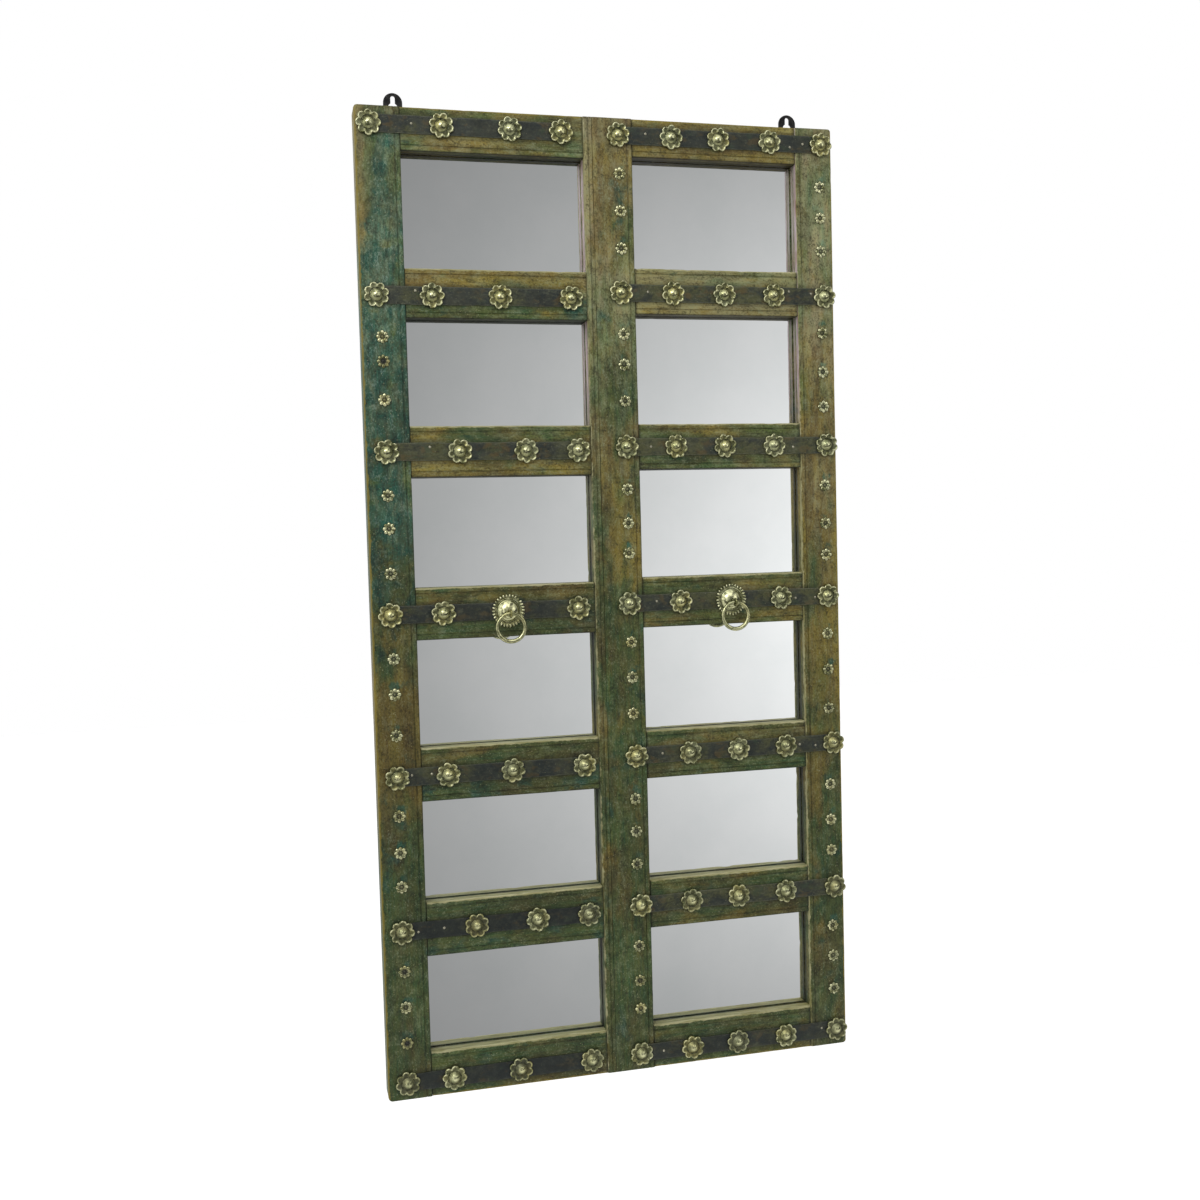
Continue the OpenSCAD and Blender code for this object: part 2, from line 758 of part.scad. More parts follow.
// ---- The assembly ----

left_outer_stile();
left_meeting_stile();
right_meeting_stile();
right_outer_stile();
for (row = [0:last_row]) {
  rail(LEFT, row);
  rail(RIGHT, row);
  strap(LEFT, row);
  strap(RIGHT, row);
}
for (bay = [0:bay_count - 1]) {
  mirror_pane(LEFT, bay);
  mirror_pane(RIGHT, bay);
}
backing_boards();
glazing_beads();
bosses(LEFT);  // left_bosses
bosses(RIGHT);  // right_bosses
rosettes();
strap_nails();
ring_plate(LEFT);  // left_ring_plate
ring_eye(LEFT);  // left_ring_eye
pull_ring(LEFT);  // left_ring
ring_plate(RIGHT);  // right_ring_plate
ring_eye(RIGHT);  // right_ring_eye
pull_ring(RIGHT);  // right_ring
hanger(LEFT);  // left_hanger
hanger(RIGHT);  // right_hanger
hanger_screws();
lap_screws();
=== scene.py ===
import math
import bpy
import bmesh
import numpy as np
from mathutils import Matrix, Vector, noise


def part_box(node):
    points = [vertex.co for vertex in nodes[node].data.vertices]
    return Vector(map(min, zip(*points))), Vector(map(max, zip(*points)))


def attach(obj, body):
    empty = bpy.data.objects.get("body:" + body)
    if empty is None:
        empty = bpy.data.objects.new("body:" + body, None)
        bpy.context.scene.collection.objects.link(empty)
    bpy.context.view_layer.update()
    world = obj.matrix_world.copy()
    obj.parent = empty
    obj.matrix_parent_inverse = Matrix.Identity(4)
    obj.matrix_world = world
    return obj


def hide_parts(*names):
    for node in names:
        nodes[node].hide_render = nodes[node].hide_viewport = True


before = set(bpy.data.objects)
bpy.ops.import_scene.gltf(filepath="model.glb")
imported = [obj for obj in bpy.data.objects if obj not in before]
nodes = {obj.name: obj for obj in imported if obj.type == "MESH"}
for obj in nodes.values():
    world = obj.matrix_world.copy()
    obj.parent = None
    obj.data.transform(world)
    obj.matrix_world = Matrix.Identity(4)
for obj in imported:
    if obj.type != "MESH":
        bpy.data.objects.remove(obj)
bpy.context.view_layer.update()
mm = 0.001
print("frame loaded:", len(nodes), "nodes")


def paint(text):  # "#rrggbb" as Blender's linear colour
    parts = [int(text[i:i + 2], 16) / 255 for i in (1, 3, 5)]
    return tuple(p / 12.92 if p < 0.04045 else ((p + 0.055) / 1.055) ** 2.4 for p in parts) + (1,)


def painted(values):  # a dictionary with its colours made ready
    return {key: paint(value) if isinstance(value, str) else value for key, value in values.items()}


def smooth(value, low, high):  # 0 below low, 1 above high
    t = np.clip((value - low) / (high - low), 0, 1)
    return t * t * (3 - 2 * t)


def bell(value, width):
    return np.exp(-(value / width) ** 2)


def wobble(points, scale, seed, octaves=3):  # noise at each point, about -1 to 1
    shift = Vector((seed * 3.1, seed * 7.7, seed * 1.3))
    scale = np.broadcast_to(np.array(scale, float), (3,))
    return np.array([noise.fractal(Vector(p * scale) + shift, 0.9, 2.1, octaves) for p in points])


def makePiece(name, verts, faces, material, body, sharp=35, masks=None):
    mesh = bpy.data.meshes.new(name)
    mesh.from_pydata([tuple(v) for v in verts], [], [tuple(f) for f in faces])
    mesh.validate()
    mesh.update()
    mesh.shade_smooth()
    mesh.set_sharp_from_angle(angle=math.radians(sharp))
    for maskName, values in (masks or {}).items():
        layer = mesh.attributes.new(maskName, "FLOAT_COLOR", "POINT")
        layer.data.foreach_set("color", np.asarray(values, np.float32).ravel())
    mesh.materials.append(material)
    piece = bpy.data.objects.new(name, mesh)
    bpy.context.scene.collection.objects.link(piece)
    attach(piece, body)
    return piece


def weldedMesh(name):  # a node's mesh with its seams welded, to cut or to measure
    work = bmesh.new()
    work.from_mesh(nodes[name].data)
    bmesh.ops.remove_doubles(work, verts=work.verts, dist=1e-6)
    return work


def cutAcross(work, axis, place):
    normal = Vector((0, 0, 0))
    normal[axis] = 1
    geometry = work.verts[:] + work.edges[:] + work.faces[:]
    bmesh.ops.bisect_plane(work, geom=geometry, dist=1e-5, plane_co=normal * place, plane_no=normal)


def turned(across, up, height, turn, squeeze=1.0):  # an ornament's points, turned on its middle
    c, s = math.cos(turn), math.sin(turn)
    points = np.stack([(across * c - up * s) * squeeze, (across * s + up * c) / squeeze, height], -1)
    return points.reshape(-1, 3)


def gridFaces(rows, columns):  # quads between rings of points
    faces = []
    for r in range(rows - 1):
        for c in range(columns):
            a = r * columns + c
            b = r * columns + (c + 1) % columns
            faces.append((a, b, b + columns, a + columns))
    return faces


def addNode(tree, kind, settings=None, inputs=None):
    made = tree.nodes.new(kind)
    for key, value in (settings or {}).items():
        setattr(made, key, value)
    for key, value in (inputs or {}).items():
        if isinstance(value, bpy.types.NodeSocket):
            tree.links.new(value, made.inputs[key])
        else:
            made.inputs[key].default_value = value
    return made


def calc(tree, operation, a, b=0.0, clamp=False):
    return addNode(tree, "ShaderNodeMath", {"operation": operation, "use_clamp": clamp},
                   {0: a, 1: b}).outputs[0]


def blendColour(tree, factor, a, b, mode="MIX"):
    mix = addNode(tree, "ShaderNodeMix", {"data_type": "RGBA", "blend_type": mode},
                  {0: factor, 6: a, 7: b})
    return mix.outputs[2]


def blendValue(tree, factor, a, b):
    return addNode(tree, "ShaderNodeMix", {"data_type": "FLOAT"}, {0: factor, 2: a, 3: b}).outputs[0]


def layOver(tree, colour, mask, amount, coat, mode="MIX"):  # a coat where its mask lets it show
    return blendColour(tree, calc(tree, "MULTIPLY", mask, amount), colour, coat, mode)


def fitRange(tree, value, low, high, toLow=0.0, toHigh=1.0):
    return addNode(tree, "ShaderNodeMapRange", {"interpolation_type": "SMOOTHSTEP"},
                   {0: value, 1: low, 2: high, 3: toLow, 4: toHigh}).outputs[0]


def noiseAt(tree, vector, scale, detail=4.0, rough=0.55, distort=0.0):
    return addNode(tree, "ShaderNodeTexNoise", None,
                   {"Vector": vector, "Scale": scale, "Detail": detail,
                    "Roughness": rough, "Distortion": distort}).outputs["Fac"]


def stretched(tree, place, stretch):
    return addNode(tree, "ShaderNodeVectorMath", {"operation": "MULTIPLY"},
                   {0: place, 1: stretch}).outputs[0]


def newGroup(name, takes, gives):
    group = bpy.data.node_groups.new(name, "ShaderNodeTree")
    for label, kind, value in takes:
        socket = group.interface.new_socket(name=label, in_out="INPUT", socket_type=kind)
        socket.default_value = value
    for label, kind in gives:
        group.interface.new_socket(name=label, in_out="OUTPUT", socket_type=kind)
    start = group.nodes.new("NodeGroupInput")
    end = group.nodes.new("NodeGroupOutput")
    return group, start.outputs, end.inputs


def useGroup(tree, group, inputs):
    return addNode(tree, "ShaderNodeGroup", {"node_tree": group}, inputs).outputs


def paintMask(tree, place, stretch, share, soft, seed):
    return useGroup(tree, paintLeft, {"Place": place, "Stretch": stretch, "Share": share,
                                      "Soft": soft, "Seed": seed})["Mask"]


def rubMask(tree, place, edge, ragged, scale):
    return useGroup(tree, rubbedEdge, {"Place": place, "Edge": edge, "Ragged": ragged,
                                       "Scale": scale})["Mask"]


number = "NodeSocketFloat"
vector = "NodeSocketVector"


def grainGroup():  # long streaks and pores of old timber
    group, take, give = newGroup(
        "woodGrain",
        [("Place", vector, (0, 0, 0)), ("Stretch", vector, (60, 60, 4)), ("Pores", number, 0.5)],
        [("Streak", number), ("Fine", number), ("Crack", number), ("Height", number)])
    long = stretched(group, take["Place"], take["Stretch"])
    streak = noiseAt(group, long, 1.0, 5.0, 0.62, 0.35)
    fine = noiseAt(group, long, 4.5, 4.0, 0.7, 0.1)
    crackBed = noiseAt(group, long, 2.6, 3.0, 0.5, 0.1)
    ridge = calc(group, "ABSOLUTE", calc(group, "SUBTRACT", crackBed, 0.5))
    reach = noiseAt(group, take["Place"], 9.0, 2.0)
    crack = calc(group, "MULTIPLY", fitRange(group, ridge, 0.014, 0.0),
                 fitRange(group, reach, 0.5, 0.62))
    crack = calc(group, "MULTIPLY", crack, take["Pores"])
    height = calc(group, "ADD", calc(group, "MULTIPLY", streak, 0.6),
                  calc(group, "MULTIPLY", fine, 0.35))
    height = calc(group, "SUBTRACT", height, calc(group, "MULTIPLY", crack, 0.9))
    for label, value in (("Streak", streak), ("Fine", fine), ("Crack", crack), ("Height", height)):
        group.links.new(value, give[label])
    return group


def patchGroup():  # where a coat of paint is left, from the share that it covers
    group, take, give = newGroup(
        "paintLeft",
        [("Place", vector, (0, 0, 0)), ("Stretch", vector, (20, 20, 8)), ("Share", number, 0.5),
         ("Soft", number, 0.06), ("Seed", number, 0.0)],
        [("Mask", number)])
    moved = addNode(group, "ShaderNodeVectorMath", {"operation": "MULTIPLY_ADD"},
                    {0: take["Place"], 1: take["Stretch"], 2: take["Seed"]}).outputs[0]
    broad = noiseAt(group, moved, 1.0, 7.0, 0.6, 0.35)
    level = calc(group, "ADD", broad, calc(group, "MULTIPLY", take["Share"], 0.5))
    low = calc(group, "SUBTRACT", 0.75, take["Soft"])
    high = calc(group, "ADD", 0.75, take["Soft"])
    group.links.new(fitRange(group, level, low, high), give["Mask"])
    return group


def wearGroup():  # rubbed edges, ragged by noise
    group, take, give = newGroup(
        "rubbedEdge",
        [("Place", vector, (0, 0, 0)), ("Edge", number, 0.0), ("Ragged", number, 0.5),
         ("Scale", number, 90.0)],
        [("Mask", number)])
    broken = noiseAt(group, take["Place"], take["Scale"], 5.0, 0.65)
    lift = calc(group, "MULTIPLY", calc(group, "SUBTRACT", broken, 0.5), take["Ragged"])
    level = calc(group, "ADD", take["Edge"], calc(group, "MULTIPLY", lift, 2.4))
    mask = calc(group, "MULTIPLY", fitRange(group, level, 0.38, 0.72),
                fitRange(group, take["Edge"], 0.03, 0.16))
    group.links.new(mask, give["Mask"])
    return group


def mottleGroup():  # the small light and dark spots of many thin coats
    group, take, give = newGroup(
        "mottle", [("Place", vector, (0, 0, 0)), ("Stretch", vector, (1, 1, 1)), ("Scale", number, 150.0)],
        [("Dark", number), ("Light", number)])
    long = stretched(group, take["Place"], take["Stretch"])
    small = noiseAt(group, long, take["Scale"], 4.0, 0.72)
    broad = noiseAt(group, long, calc(group, "MULTIPLY", take["Scale"], 0.22), 4.0, 0.7)
    level = calc(group, "ADD", calc(group, "MULTIPLY", small, 0.6), calc(group, "MULTIPLY", broad, 0.4))
    group.links.new(fitRange(group, level, 0.525, 0.39), give["Dark"])
    group.links.new(fitRange(group, level, 0.525, 0.615), give["Light"])
    return group


def dustGroup():  # dust and old polish in clouds of noise, with a few pale flecks
    group, take, give = newGroup(
        "dustAndFlecks",
        [("Place", vector, (0, 0, 0)), ("Low", number, 0.0), ("Flecks", number, 0.5),
         ("Scale", number, 220.0)],
        [("Dust", number), ("Fleck", number)])
    cloud = noiseAt(group, take["Place"], 38.0, 5.0, 0.6)
    dust = calc(group, "MULTIPLY", fitRange(group, cloud, 0.38, 0.66), take["Low"])
    cell = addNode(group, "ShaderNodeTexVoronoi", {"feature": "F1"},
                   {"Vector": take["Place"], "Scale": take["Scale"], "Randomness": 1.0})
    pick = addNode(group, "ShaderNodeSeparateColor", None, {0: cell.outputs["Color"]}).outputs[0]
    chosen = fitRange(group, pick, calc(group, "SUBTRACT", 1.0, take["Flecks"]), 1.0)
    dot = fitRange(group, cell.outputs["Distance"], 0.36, 0.2)
    group.links.new(dust, give["Dust"])
    group.links.new(calc(group, "MULTIPLY", chosen, dot), give["Fleck"])
    return group


woodGrain = grainGroup()
paintLeft = patchGroup()
rubbedEdge = wearGroup()
dustAndFlecks = dustGroup()
mottle = mottleGroup()


def newMaterial(name):
    material = bpy.data.materials.new(name)
    material.use_nodes = True
    tree = material.node_tree
    shader = tree.nodes["Principled BSDF"]
    place = tree.nodes.new("ShaderNodeTexCoord").outputs["Object"]
    return material, tree, shader, place


def maskParts(tree, name):  # the four masks painted on a mesh
    layer = addNode(tree, "ShaderNodeAttribute", {"attribute_name": name})
    split = addNode(tree, "ShaderNodeSeparateColor", None, {0: layer.outputs["Color"]})
    return split.outputs[0], split.outputs[1], split.outputs[2], layer.outputs["Alpha"]


def bumpInto(tree, shader, height, strength, depth):
    bump = addNode(tree, "ShaderNodeBump", None,
                   {"Height": height, "Strength": strength, "Distance": depth})
    tree.links.new(bump.outputs[0], shader.inputs["Normal"])


timberPaints = {
    "base": "#5c5630", "umber": "#332d1b", "ochre": "#8f7f34", "rust": "#67532a",
    "green": "#2e5433", "moss": "#4e5c2b", "teal": "#245a4a", "deepTeal": "#153c36",
    "pale": "#949a76", "paleTeal": "#93aca2", "dusty": "#7c6c54", "cream": "#d2cda0",
    "lilac": "#d9cbd4", "rose": "#8d6558", "soot": "#14170d", "bead": "#8f8a50",
    "faded": (1.75, 1.75, 1.72, 1), "grainDepth": 0.0014, "roughness": 0.54,
}


def timberMaterial(name, along, seed):
    look = painted(timberPaints)
    material, tree, shader, place = newMaterial(name)
    far = 4 if along == "z" else 62
    side = 62 if along == "z" else 4
    grain = useGroup(tree, woodGrain, {"Place": place, "Stretch": (side, 62, far), "Pores": 1.0})
    ochreShare, greenShare, tealShare, paleShare = maskParts(tree, "coats")
    edge, grimeAndShade, smear, edgeSide = maskParts(tree, "worn")
    darker, paintedHighlight, rosy, _ = maskParts(tree, "toneAndLight")

    def coat(share, stretch, soft, step):
        long, wide = stretch
        size = (wide, wide, long) if along == "z" else (long, wide, wide)
        return paintMask(tree, place, size, share, soft, seed + step)

    streak = fitRange(tree, grain["Streak"], 0.2, 0.8)
    fine = fitRange(tree, grain["Fine"], 0.3, 0.7)
    bare = blendColour(tree, streak, look["umber"], look["base"])
    bare = blendColour(tree, calc(tree, "MULTIPLY", fine, 0.4), bare, look["rust"])
    mossy = blendColour(tree, coat(0.5, (10, 22), 0.2, 1.7), bare, look["moss"])
    warm = blendColour(tree, streak, look["rust"], look["ochre"])
    dusty = calc(tree, "MULTIPLY", fitRange(tree, paleShare, 0.28, 0.6), 0.85 if along == "z" else 0.3)
    dusty = calc(tree, "MULTIPLY", dusty, fitRange(tree, noiseAt(tree, place, 16.0, 5.0, 0.65), 0.36, 0.58,
                                                   0.25, 1.0))
    warm = blendColour(tree, dusty, warm, look["dusty"])
    colour = blendColour(tree, calc(tree, "MULTIPLY", coat(ochreShare, (7, 20), 0.11, 0.0), 0.92),
                         mossy, warm)
    greenWet = blendColour(tree, fine, look["green"], look["moss"])
    colour = layOver(tree, colour, coat(greenShare, (9, 22), 0.1, 5.3), 0.9, greenWet)
    tealWet = blendColour(tree, fine, look["deepTeal"], look["teal"])
    colour = layOver(tree, colour, coat(tealShare, (20, 28), 0.09, 11.9), 0.92, tealWet)
    colour = layOver(tree, colour, coat(smear, (30, 56), 0.09, 23.0), 0.9, look["teal"])
    colour = layOver(tree, colour, coat(paleShare, (36, 80), 0.16, 31.0), 0.34, look["pale"])
    colour = layOver(tree, colour, coat(0.24, (16, 60), 0.14, 41.0), 0.5, look["soot"])
    brushed = coat(0.34, (10, 90), 0.12, 57.0)
    colour = layOver(tree, colour, brushed, 0.5, look["faded"], "MULTIPLY")
    spots = useGroup(tree, mottle, {"Place": place, "Scale": 310.0,
                                    "Stretch": (1, 1, 0.7) if along == "z" else (0.7, 1, 1)})
    colour = layOver(tree, colour, paleShare, 0.95, look["faded"], "MULTIPLY")
    # darker towards the bottom, in blotches and in listed patches
    colour = layOver(tree, colour, darker, 0.85, look["soot"])
    colour = layOver(tree, colour, spots["Dark"], 0.7, look["soot"])
    lighter = calc(tree, "MULTIPLY", calc(tree, "ADD", paleShare, 0.12), 0.95)
    lighter = calc(tree, "MULTIPLY", spots["Light"], lighter)
    colour = blendColour(tree, lighter, colour,
                         blendColour(tree, tealShare, look["pale"], look["paleTeal"]))
    flecks = useGroup(tree, dustAndFlecks, {"Place": place, "Low": 0.3, "Flecks": 0.24, "Scale": 300.0})
    colour = layOver(tree, colour, flecks["Fleck"], 0.28, look["cream"])
    colour = layOver(tree, colour, flecks["Dust"], 0.35, look["bead"])
    palest = blendColour(tree, fine, look["bead"], look["cream"])
    # pale rubbed edges: wear, and a painted highlight on edges that face the light
    colour = layOver(tree, colour, rubMask(tree, place, edge, 0.75, 70.0), 0.8, palest)
    colour = layOver(tree, colour, rubMask(tree, place, edgeSide, 0.8, 50.0), 0.7, look["ochre"])
    colour = layOver(tree, colour, grain["Crack"], 0.4, look["soot"])
    # dark joints, and painted shade in the reveals and quirks, beside the straps and along edges that face
    # away from the light
    colour = layOver(tree, colour, grimeAndShade, 0.88, look["soot"])
    # a painted highlight on the reveals and sills that face the light: pale, and rose and lilac high on
    # the stiles
    litColour = blendColour(tree, rosy, palest, blendColour(tree, fine, look["rose"], look["lilac"]))
    colour = layOver(tree, colour, paintedHighlight, 0.85, litColour)
    tree.links.new(colour, shader.inputs["Base Color"])
    tree.links.new(fitRange(tree, grain["Streak"], 0.2, 0.8, look["roughness"] - 0.14,
                            look["roughness"] + 0.16), shader.inputs["Roughness"])
    bumpInto(tree, shader, grain["Height"], 0.6, look["grainDepth"])
    shader.inputs["Specular IOR Level"].default_value = 0.3
    return material


stileTimber = timberMaterial("stileTimber", "z", 0.0)
railTimber = timberMaterial("railTimber", "x", 3.0)

timberShape = {
    "rowStep": 8.0, "columnStep": 5.0, "ripple": 0.22, "edgeLoss": 0.55, "chipDepth": 2.0,
    "edgeCuts": (1.2, 2.6, 4, 5.5, 7.2, 8.6, 9.4, 10.6, 11.4, 13),
    "depthCuts": (41.2, 40.2, 38.6, 36.5, 33.5, 29, 24, 20, 9),
}

leafOf = {}
for rowNumber in range(1, 8):
    leafOf[f"left_rail_{rowNumber}"] = ("left", rowNumber)
    leafOf[f"right_rail_{rowNumber}"] = ("right", rowNumber)
openEdge = {
    "left_outer_stile": (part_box("left_outer_stile")[1].x, -1),
    "left_meeting_stile": (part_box("left_meeting_stile")[0].x, 1),
    "right_meeting_stile": (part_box("right_meeting_stile")[1].x, -1),
    "right_outer_stile": (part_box("right_outer_stile")[0].x, 1),
}
openSpan = {
    "left": (openEdge["left_outer_stile"][0], openEdge["left_meeting_stile"][0]),
    "right": (openEdge["right_meeting_stile"][0], openEdge["right_outer_stile"][0]),
}
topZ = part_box("left_outer_stile")[1].z
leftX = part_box("left_outer_stile")[0].x
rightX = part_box("right_outer_stile")[1].x

straps = []
for side in ("left", "right"):
    for rowNumber in range(1, 8):
        low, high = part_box(f"{side}_strap_{rowNumber}")
        straps.append((low.x, high.x, low.z, high.z))

# Each coat's share by height, top to bottom: ochre, green, teal, pale
stileCoats = {
    "left_outer_stile": [
        (0.89, 0.40, 0.40, 0.15, 0.50), (0.84, 0.12, 0.66, 0.42, 0.50), (0.66, 0.12, 0.66, 0.50, 0.40),
        (0.45, 0.08, 0.50, 0.78, 0.28), (0.20, 0.16, 0.62, 0.66, 0.26), (-0.06, 0.62, 0.40, 0.24, 0.22),
        (-0.25, 0.82, 0.22, 0.10, 0.16), (-0.45, 0.42, 0.48, 0.30, 0.18), (-0.70, 0.28, 0.62, 0.26, 0.24),
        (-0.89, 0.35, 0.58, 0.22, 0.24)],
    "left_meeting_stile": [
        (0.89, 0.72, 0.15, 0.02, 0.55), (0.68, 0.70, 0.16, 0.02, 0.50), (0.60, 0.45, 0.48, 0.12, 0.50),
        (0.35, 0.48, 0.46, 0.10, 0.42), (0.10, 0.56, 0.42, 0.10, 0.36), (-0.30, 0.45, 0.45, 0.20, 0.30),
        (-0.89, 0.42, 0.50, 0.15, 0.26)],
    "right_meeting_stile": [
        (0.89, 0.78, 0.10, 0.02, 0.45), (0.72, 0.72, 0.22, 0.04, 0.45), (0.52, 0.34, 0.50, 0.22, 0.50),
        (0.25, 0.62, 0.40, 0.08, 0.35), (0.00, 0.52, 0.46, 0.10, 0.24), (-0.28, 0.30, 0.50, 0.34, 0.20),
        (-0.50, 0.52, 0.50, 0.10, 0.22), (-0.70, 0.24, 0.68, 0.28, 0.26), (-0.89, 0.22, 0.66, 0.30, 0.26)],
    "right_outer_stile": [
        (0.89, 0.42, 0.40, 0.04, 0.62), (0.60, 0.46, 0.36, 0.12, 0.50), (0.30, 0.76, 0.22, 0.10, 0.34),
        (0.00, 0.64, 0.34, 0.12, 0.28), (-0.30, 0.62, 0.36, 0.12, 0.24), (-0.60, 0.38, 0.55, 0.22, 0.24),
        (-0.89, 0.30, 0.60, 0.20, 0.26)],
}
railCoats = {  # each rail's upper half, then its lower half
    "left_rail_1": ((0.40, 0.22, 0.00, 0.32), (0.52, 0.42, 0.10, 0.40)),
    "left_rail_2": ((0.76, 0.34, 0.06, 0.36), (0.30, 0.56, 0.30, 0.30)),
    "left_rail_3": ((0.36, 0.50, 0.14, 0.30), (0.62, 0.32, 0.08, 0.32)),
    "left_rail_4": ((0.40, 0.46, 0.16, 0.26), (0.36, 0.46, 0.22, 0.26)),
    "left_rail_5": ((0.44, 0.46, 0.14, 0.24), (0.34, 0.44, 0.36, 0.22)),
    "left_rail_6": ((0.26, 0.60, 0.18, 0.24), (0.20, 0.62, 0.30, 0.22)),
    "left_rail_7": ((0.32, 0.55, 0.18, 0.22), (0.36, 0.52, 0.14, 0.22)),
    "right_rail_1": ((0.82, 0.10, 0.04, 0.40), (0.70, 0.20, 0.04, 0.34)),
    "right_rail_2": ((0.66, 0.28, 0.05, 0.50), (0.84, 0.12, 0.04, 0.44)),
    "right_rail_3": ((0.36, 0.46, 0.12, 0.34), (0.42, 0.46, 0.10, 0.36)),
    "right_rail_4": ((0.52, 0.38, 0.10, 0.28), (0.44, 0.50, 0.10, 0.32)),
    "right_rail_5": ((0.52, 0.46, 0.08, 0.38), (0.32, 0.54, 0.26, 0.26)),
    "right_rail_6": ((0.34, 0.56, 0.12, 0.26), (0.40, 0.48, 0.14, 0.22)),
    "right_rail_7": ((0.34, 0.55, 0.14, 0.22), (0.34, 0.52, 0.14, 0.22)),
}


# how pale each opening's edge is painted: wear, and a painted highlight on edges that face the light (the
# sills and the sides that face the light from the left); edges that face away get painted shade instead
wearAndLightOf = {"left_outer_stile": 0.15, "left_meeting_stile": 0.6, "right_meeting_stile": 0.15,
          "right_outer_stile": 0.8, "head": 0.15, "sill": 1.0}


def memberMasks(name, points):
    x, depth, z = points[:, 0] / mm, -points[:, 1] / mm, points[:, 2] / mm
    row = leafOf.get(name)
    front = smooth(depth, 33, 39)  # 1 on the face, 0 down in the reveals
    if row is None:
        edgeX, turn = openEdge[name]
        fromOpen = np.abs(x - edgeX / mm)
        outer = np.minimum(np.abs(x - leftX / mm), np.abs(x - rightX / mm))
        joint = np.full(len(x), 99.0)
        table = np.array(stileCoats[name])[::-1]
        coats = np.stack([np.interp(points[:, 2], table[:, 0], table[:, k]) for k in (1, 2, 3, 4)], 1)
    else:
        low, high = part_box(name)
        x0, x1 = openSpan[row[0]]
        above = high.z / mm - z if row[1] > 1 else np.full(len(x), 99.0)
        below = z - low.z / mm if row[1] < 7 else np.full(len(x), 99.0)
        fromOpen = np.minimum(above, below)
        outer = np.abs(topZ / mm - np.abs(z)) if row[1] in (1, 7) else np.full(len(x), 99.0)
        joint = np.minimum(np.abs(x - x0 / mm), np.abs(x1 / mm - x))
        upper, lower = (np.array(part) for part in railCoats[name])
        share = smooth(z, (low.z + high.z) / 2 / mm - 14, (low.z + high.z) / 2 / mm + 14)[:, None]
        coats = upper[None] * share + lower[None] * (1 - share)
    # painted shade along the quirk groove beside the bead
    quirk = bell(fromOpen - 10, 1.3) * smooth(depth, 39.5, 41)
    inReveal = smooth(1.6 - fromOpen, 0, 1.2)
    paintedHighlight = np.zeros(len(x))
    if row is None:
        wearAndLight = np.full(len(x), wearAndLightOf[name])
        # painted shade down in the reveals
        revealShade = inReveal * smooth(-depth, -29, -21)
        if name == "left_meeting_stile":  # this side faces the light: a painted highlight makes its reveal pale by the upper panes, and takes away its painted shade there
            paintedHighlight = inReveal * smooth(depth, 18.5, 21) * (1 - smooth(depth, 30, 40)) * smooth(z, 100, 500)
            revealShade = revealShade * (1 - smooth(z, 100, 500))
        if name == "right_outer_stile":  # a painted highlight by the upper panes: two pale mouldings with a dark line between, and less painted shade there
            lines = smooth(depth, 32, 34) + 0.75 * smooth(depth, 20, 22) * (1 - smooth(depth, 27, 29))
            paintedHighlight = inReveal * lines * smooth(z, 280, 420)
            revealShade = revealShade * (1 - 0.8 * smooth(z, 280, 420))
    else:  # a head faces down and gets painted shade all over, and a sill only where it meets the pane; the rest of a sill gets a painted highlight
        isHead = below < above
        wearAndLight = np.where(isHead, wearAndLightOf["head"], wearAndLightOf["sill"])
        revealShade = inReveal * np.where(isHead, 0.45 + 0.55 * smooth(-depth, -38, -26),
                                     smooth(-depth, -22, -19))
        paintedHighlight = 0.7 * inReveal * ~isHead * smooth(depth, 21, 24)
    # pale edges: wear, and a painted highlight where the edge faces the light
    edge = bell(fromOpen, 3.6) * front * wearAndLight
    # painted shade on the timber beside the straps
    strapNear = np.zeros(len(x))
    for x0, x1, z0, z1 in straps:
        away = np.hypot(np.maximum(0, np.maximum(x0 / mm - x, x - x1 / mm)),
                        np.maximum(0, np.maximum(z0 / mm - z, z - z1 / mm)))
        strapNear = np.maximum(strapNear, bell(away, 5.0))
    # painted shade in the quirks, the reveals, beside the straps and along edges that face away from the
    # light; only the dark joints are the timber's own
    grimeAndShade = np.clip(0.3 * quirk + 0.95 * revealShade + 0.5 * strapNear * front
                    + 0.7 * bell(joint, 1.1) * front
                    + 0.55 * (1 - wearAndLight) * bell(fromOpen, 2.2) * front, 0, 1)
    rim = bell(outer, 4.0) * front
    return edge, rim, grimeAndShade, paintedHighlight, coats, depth


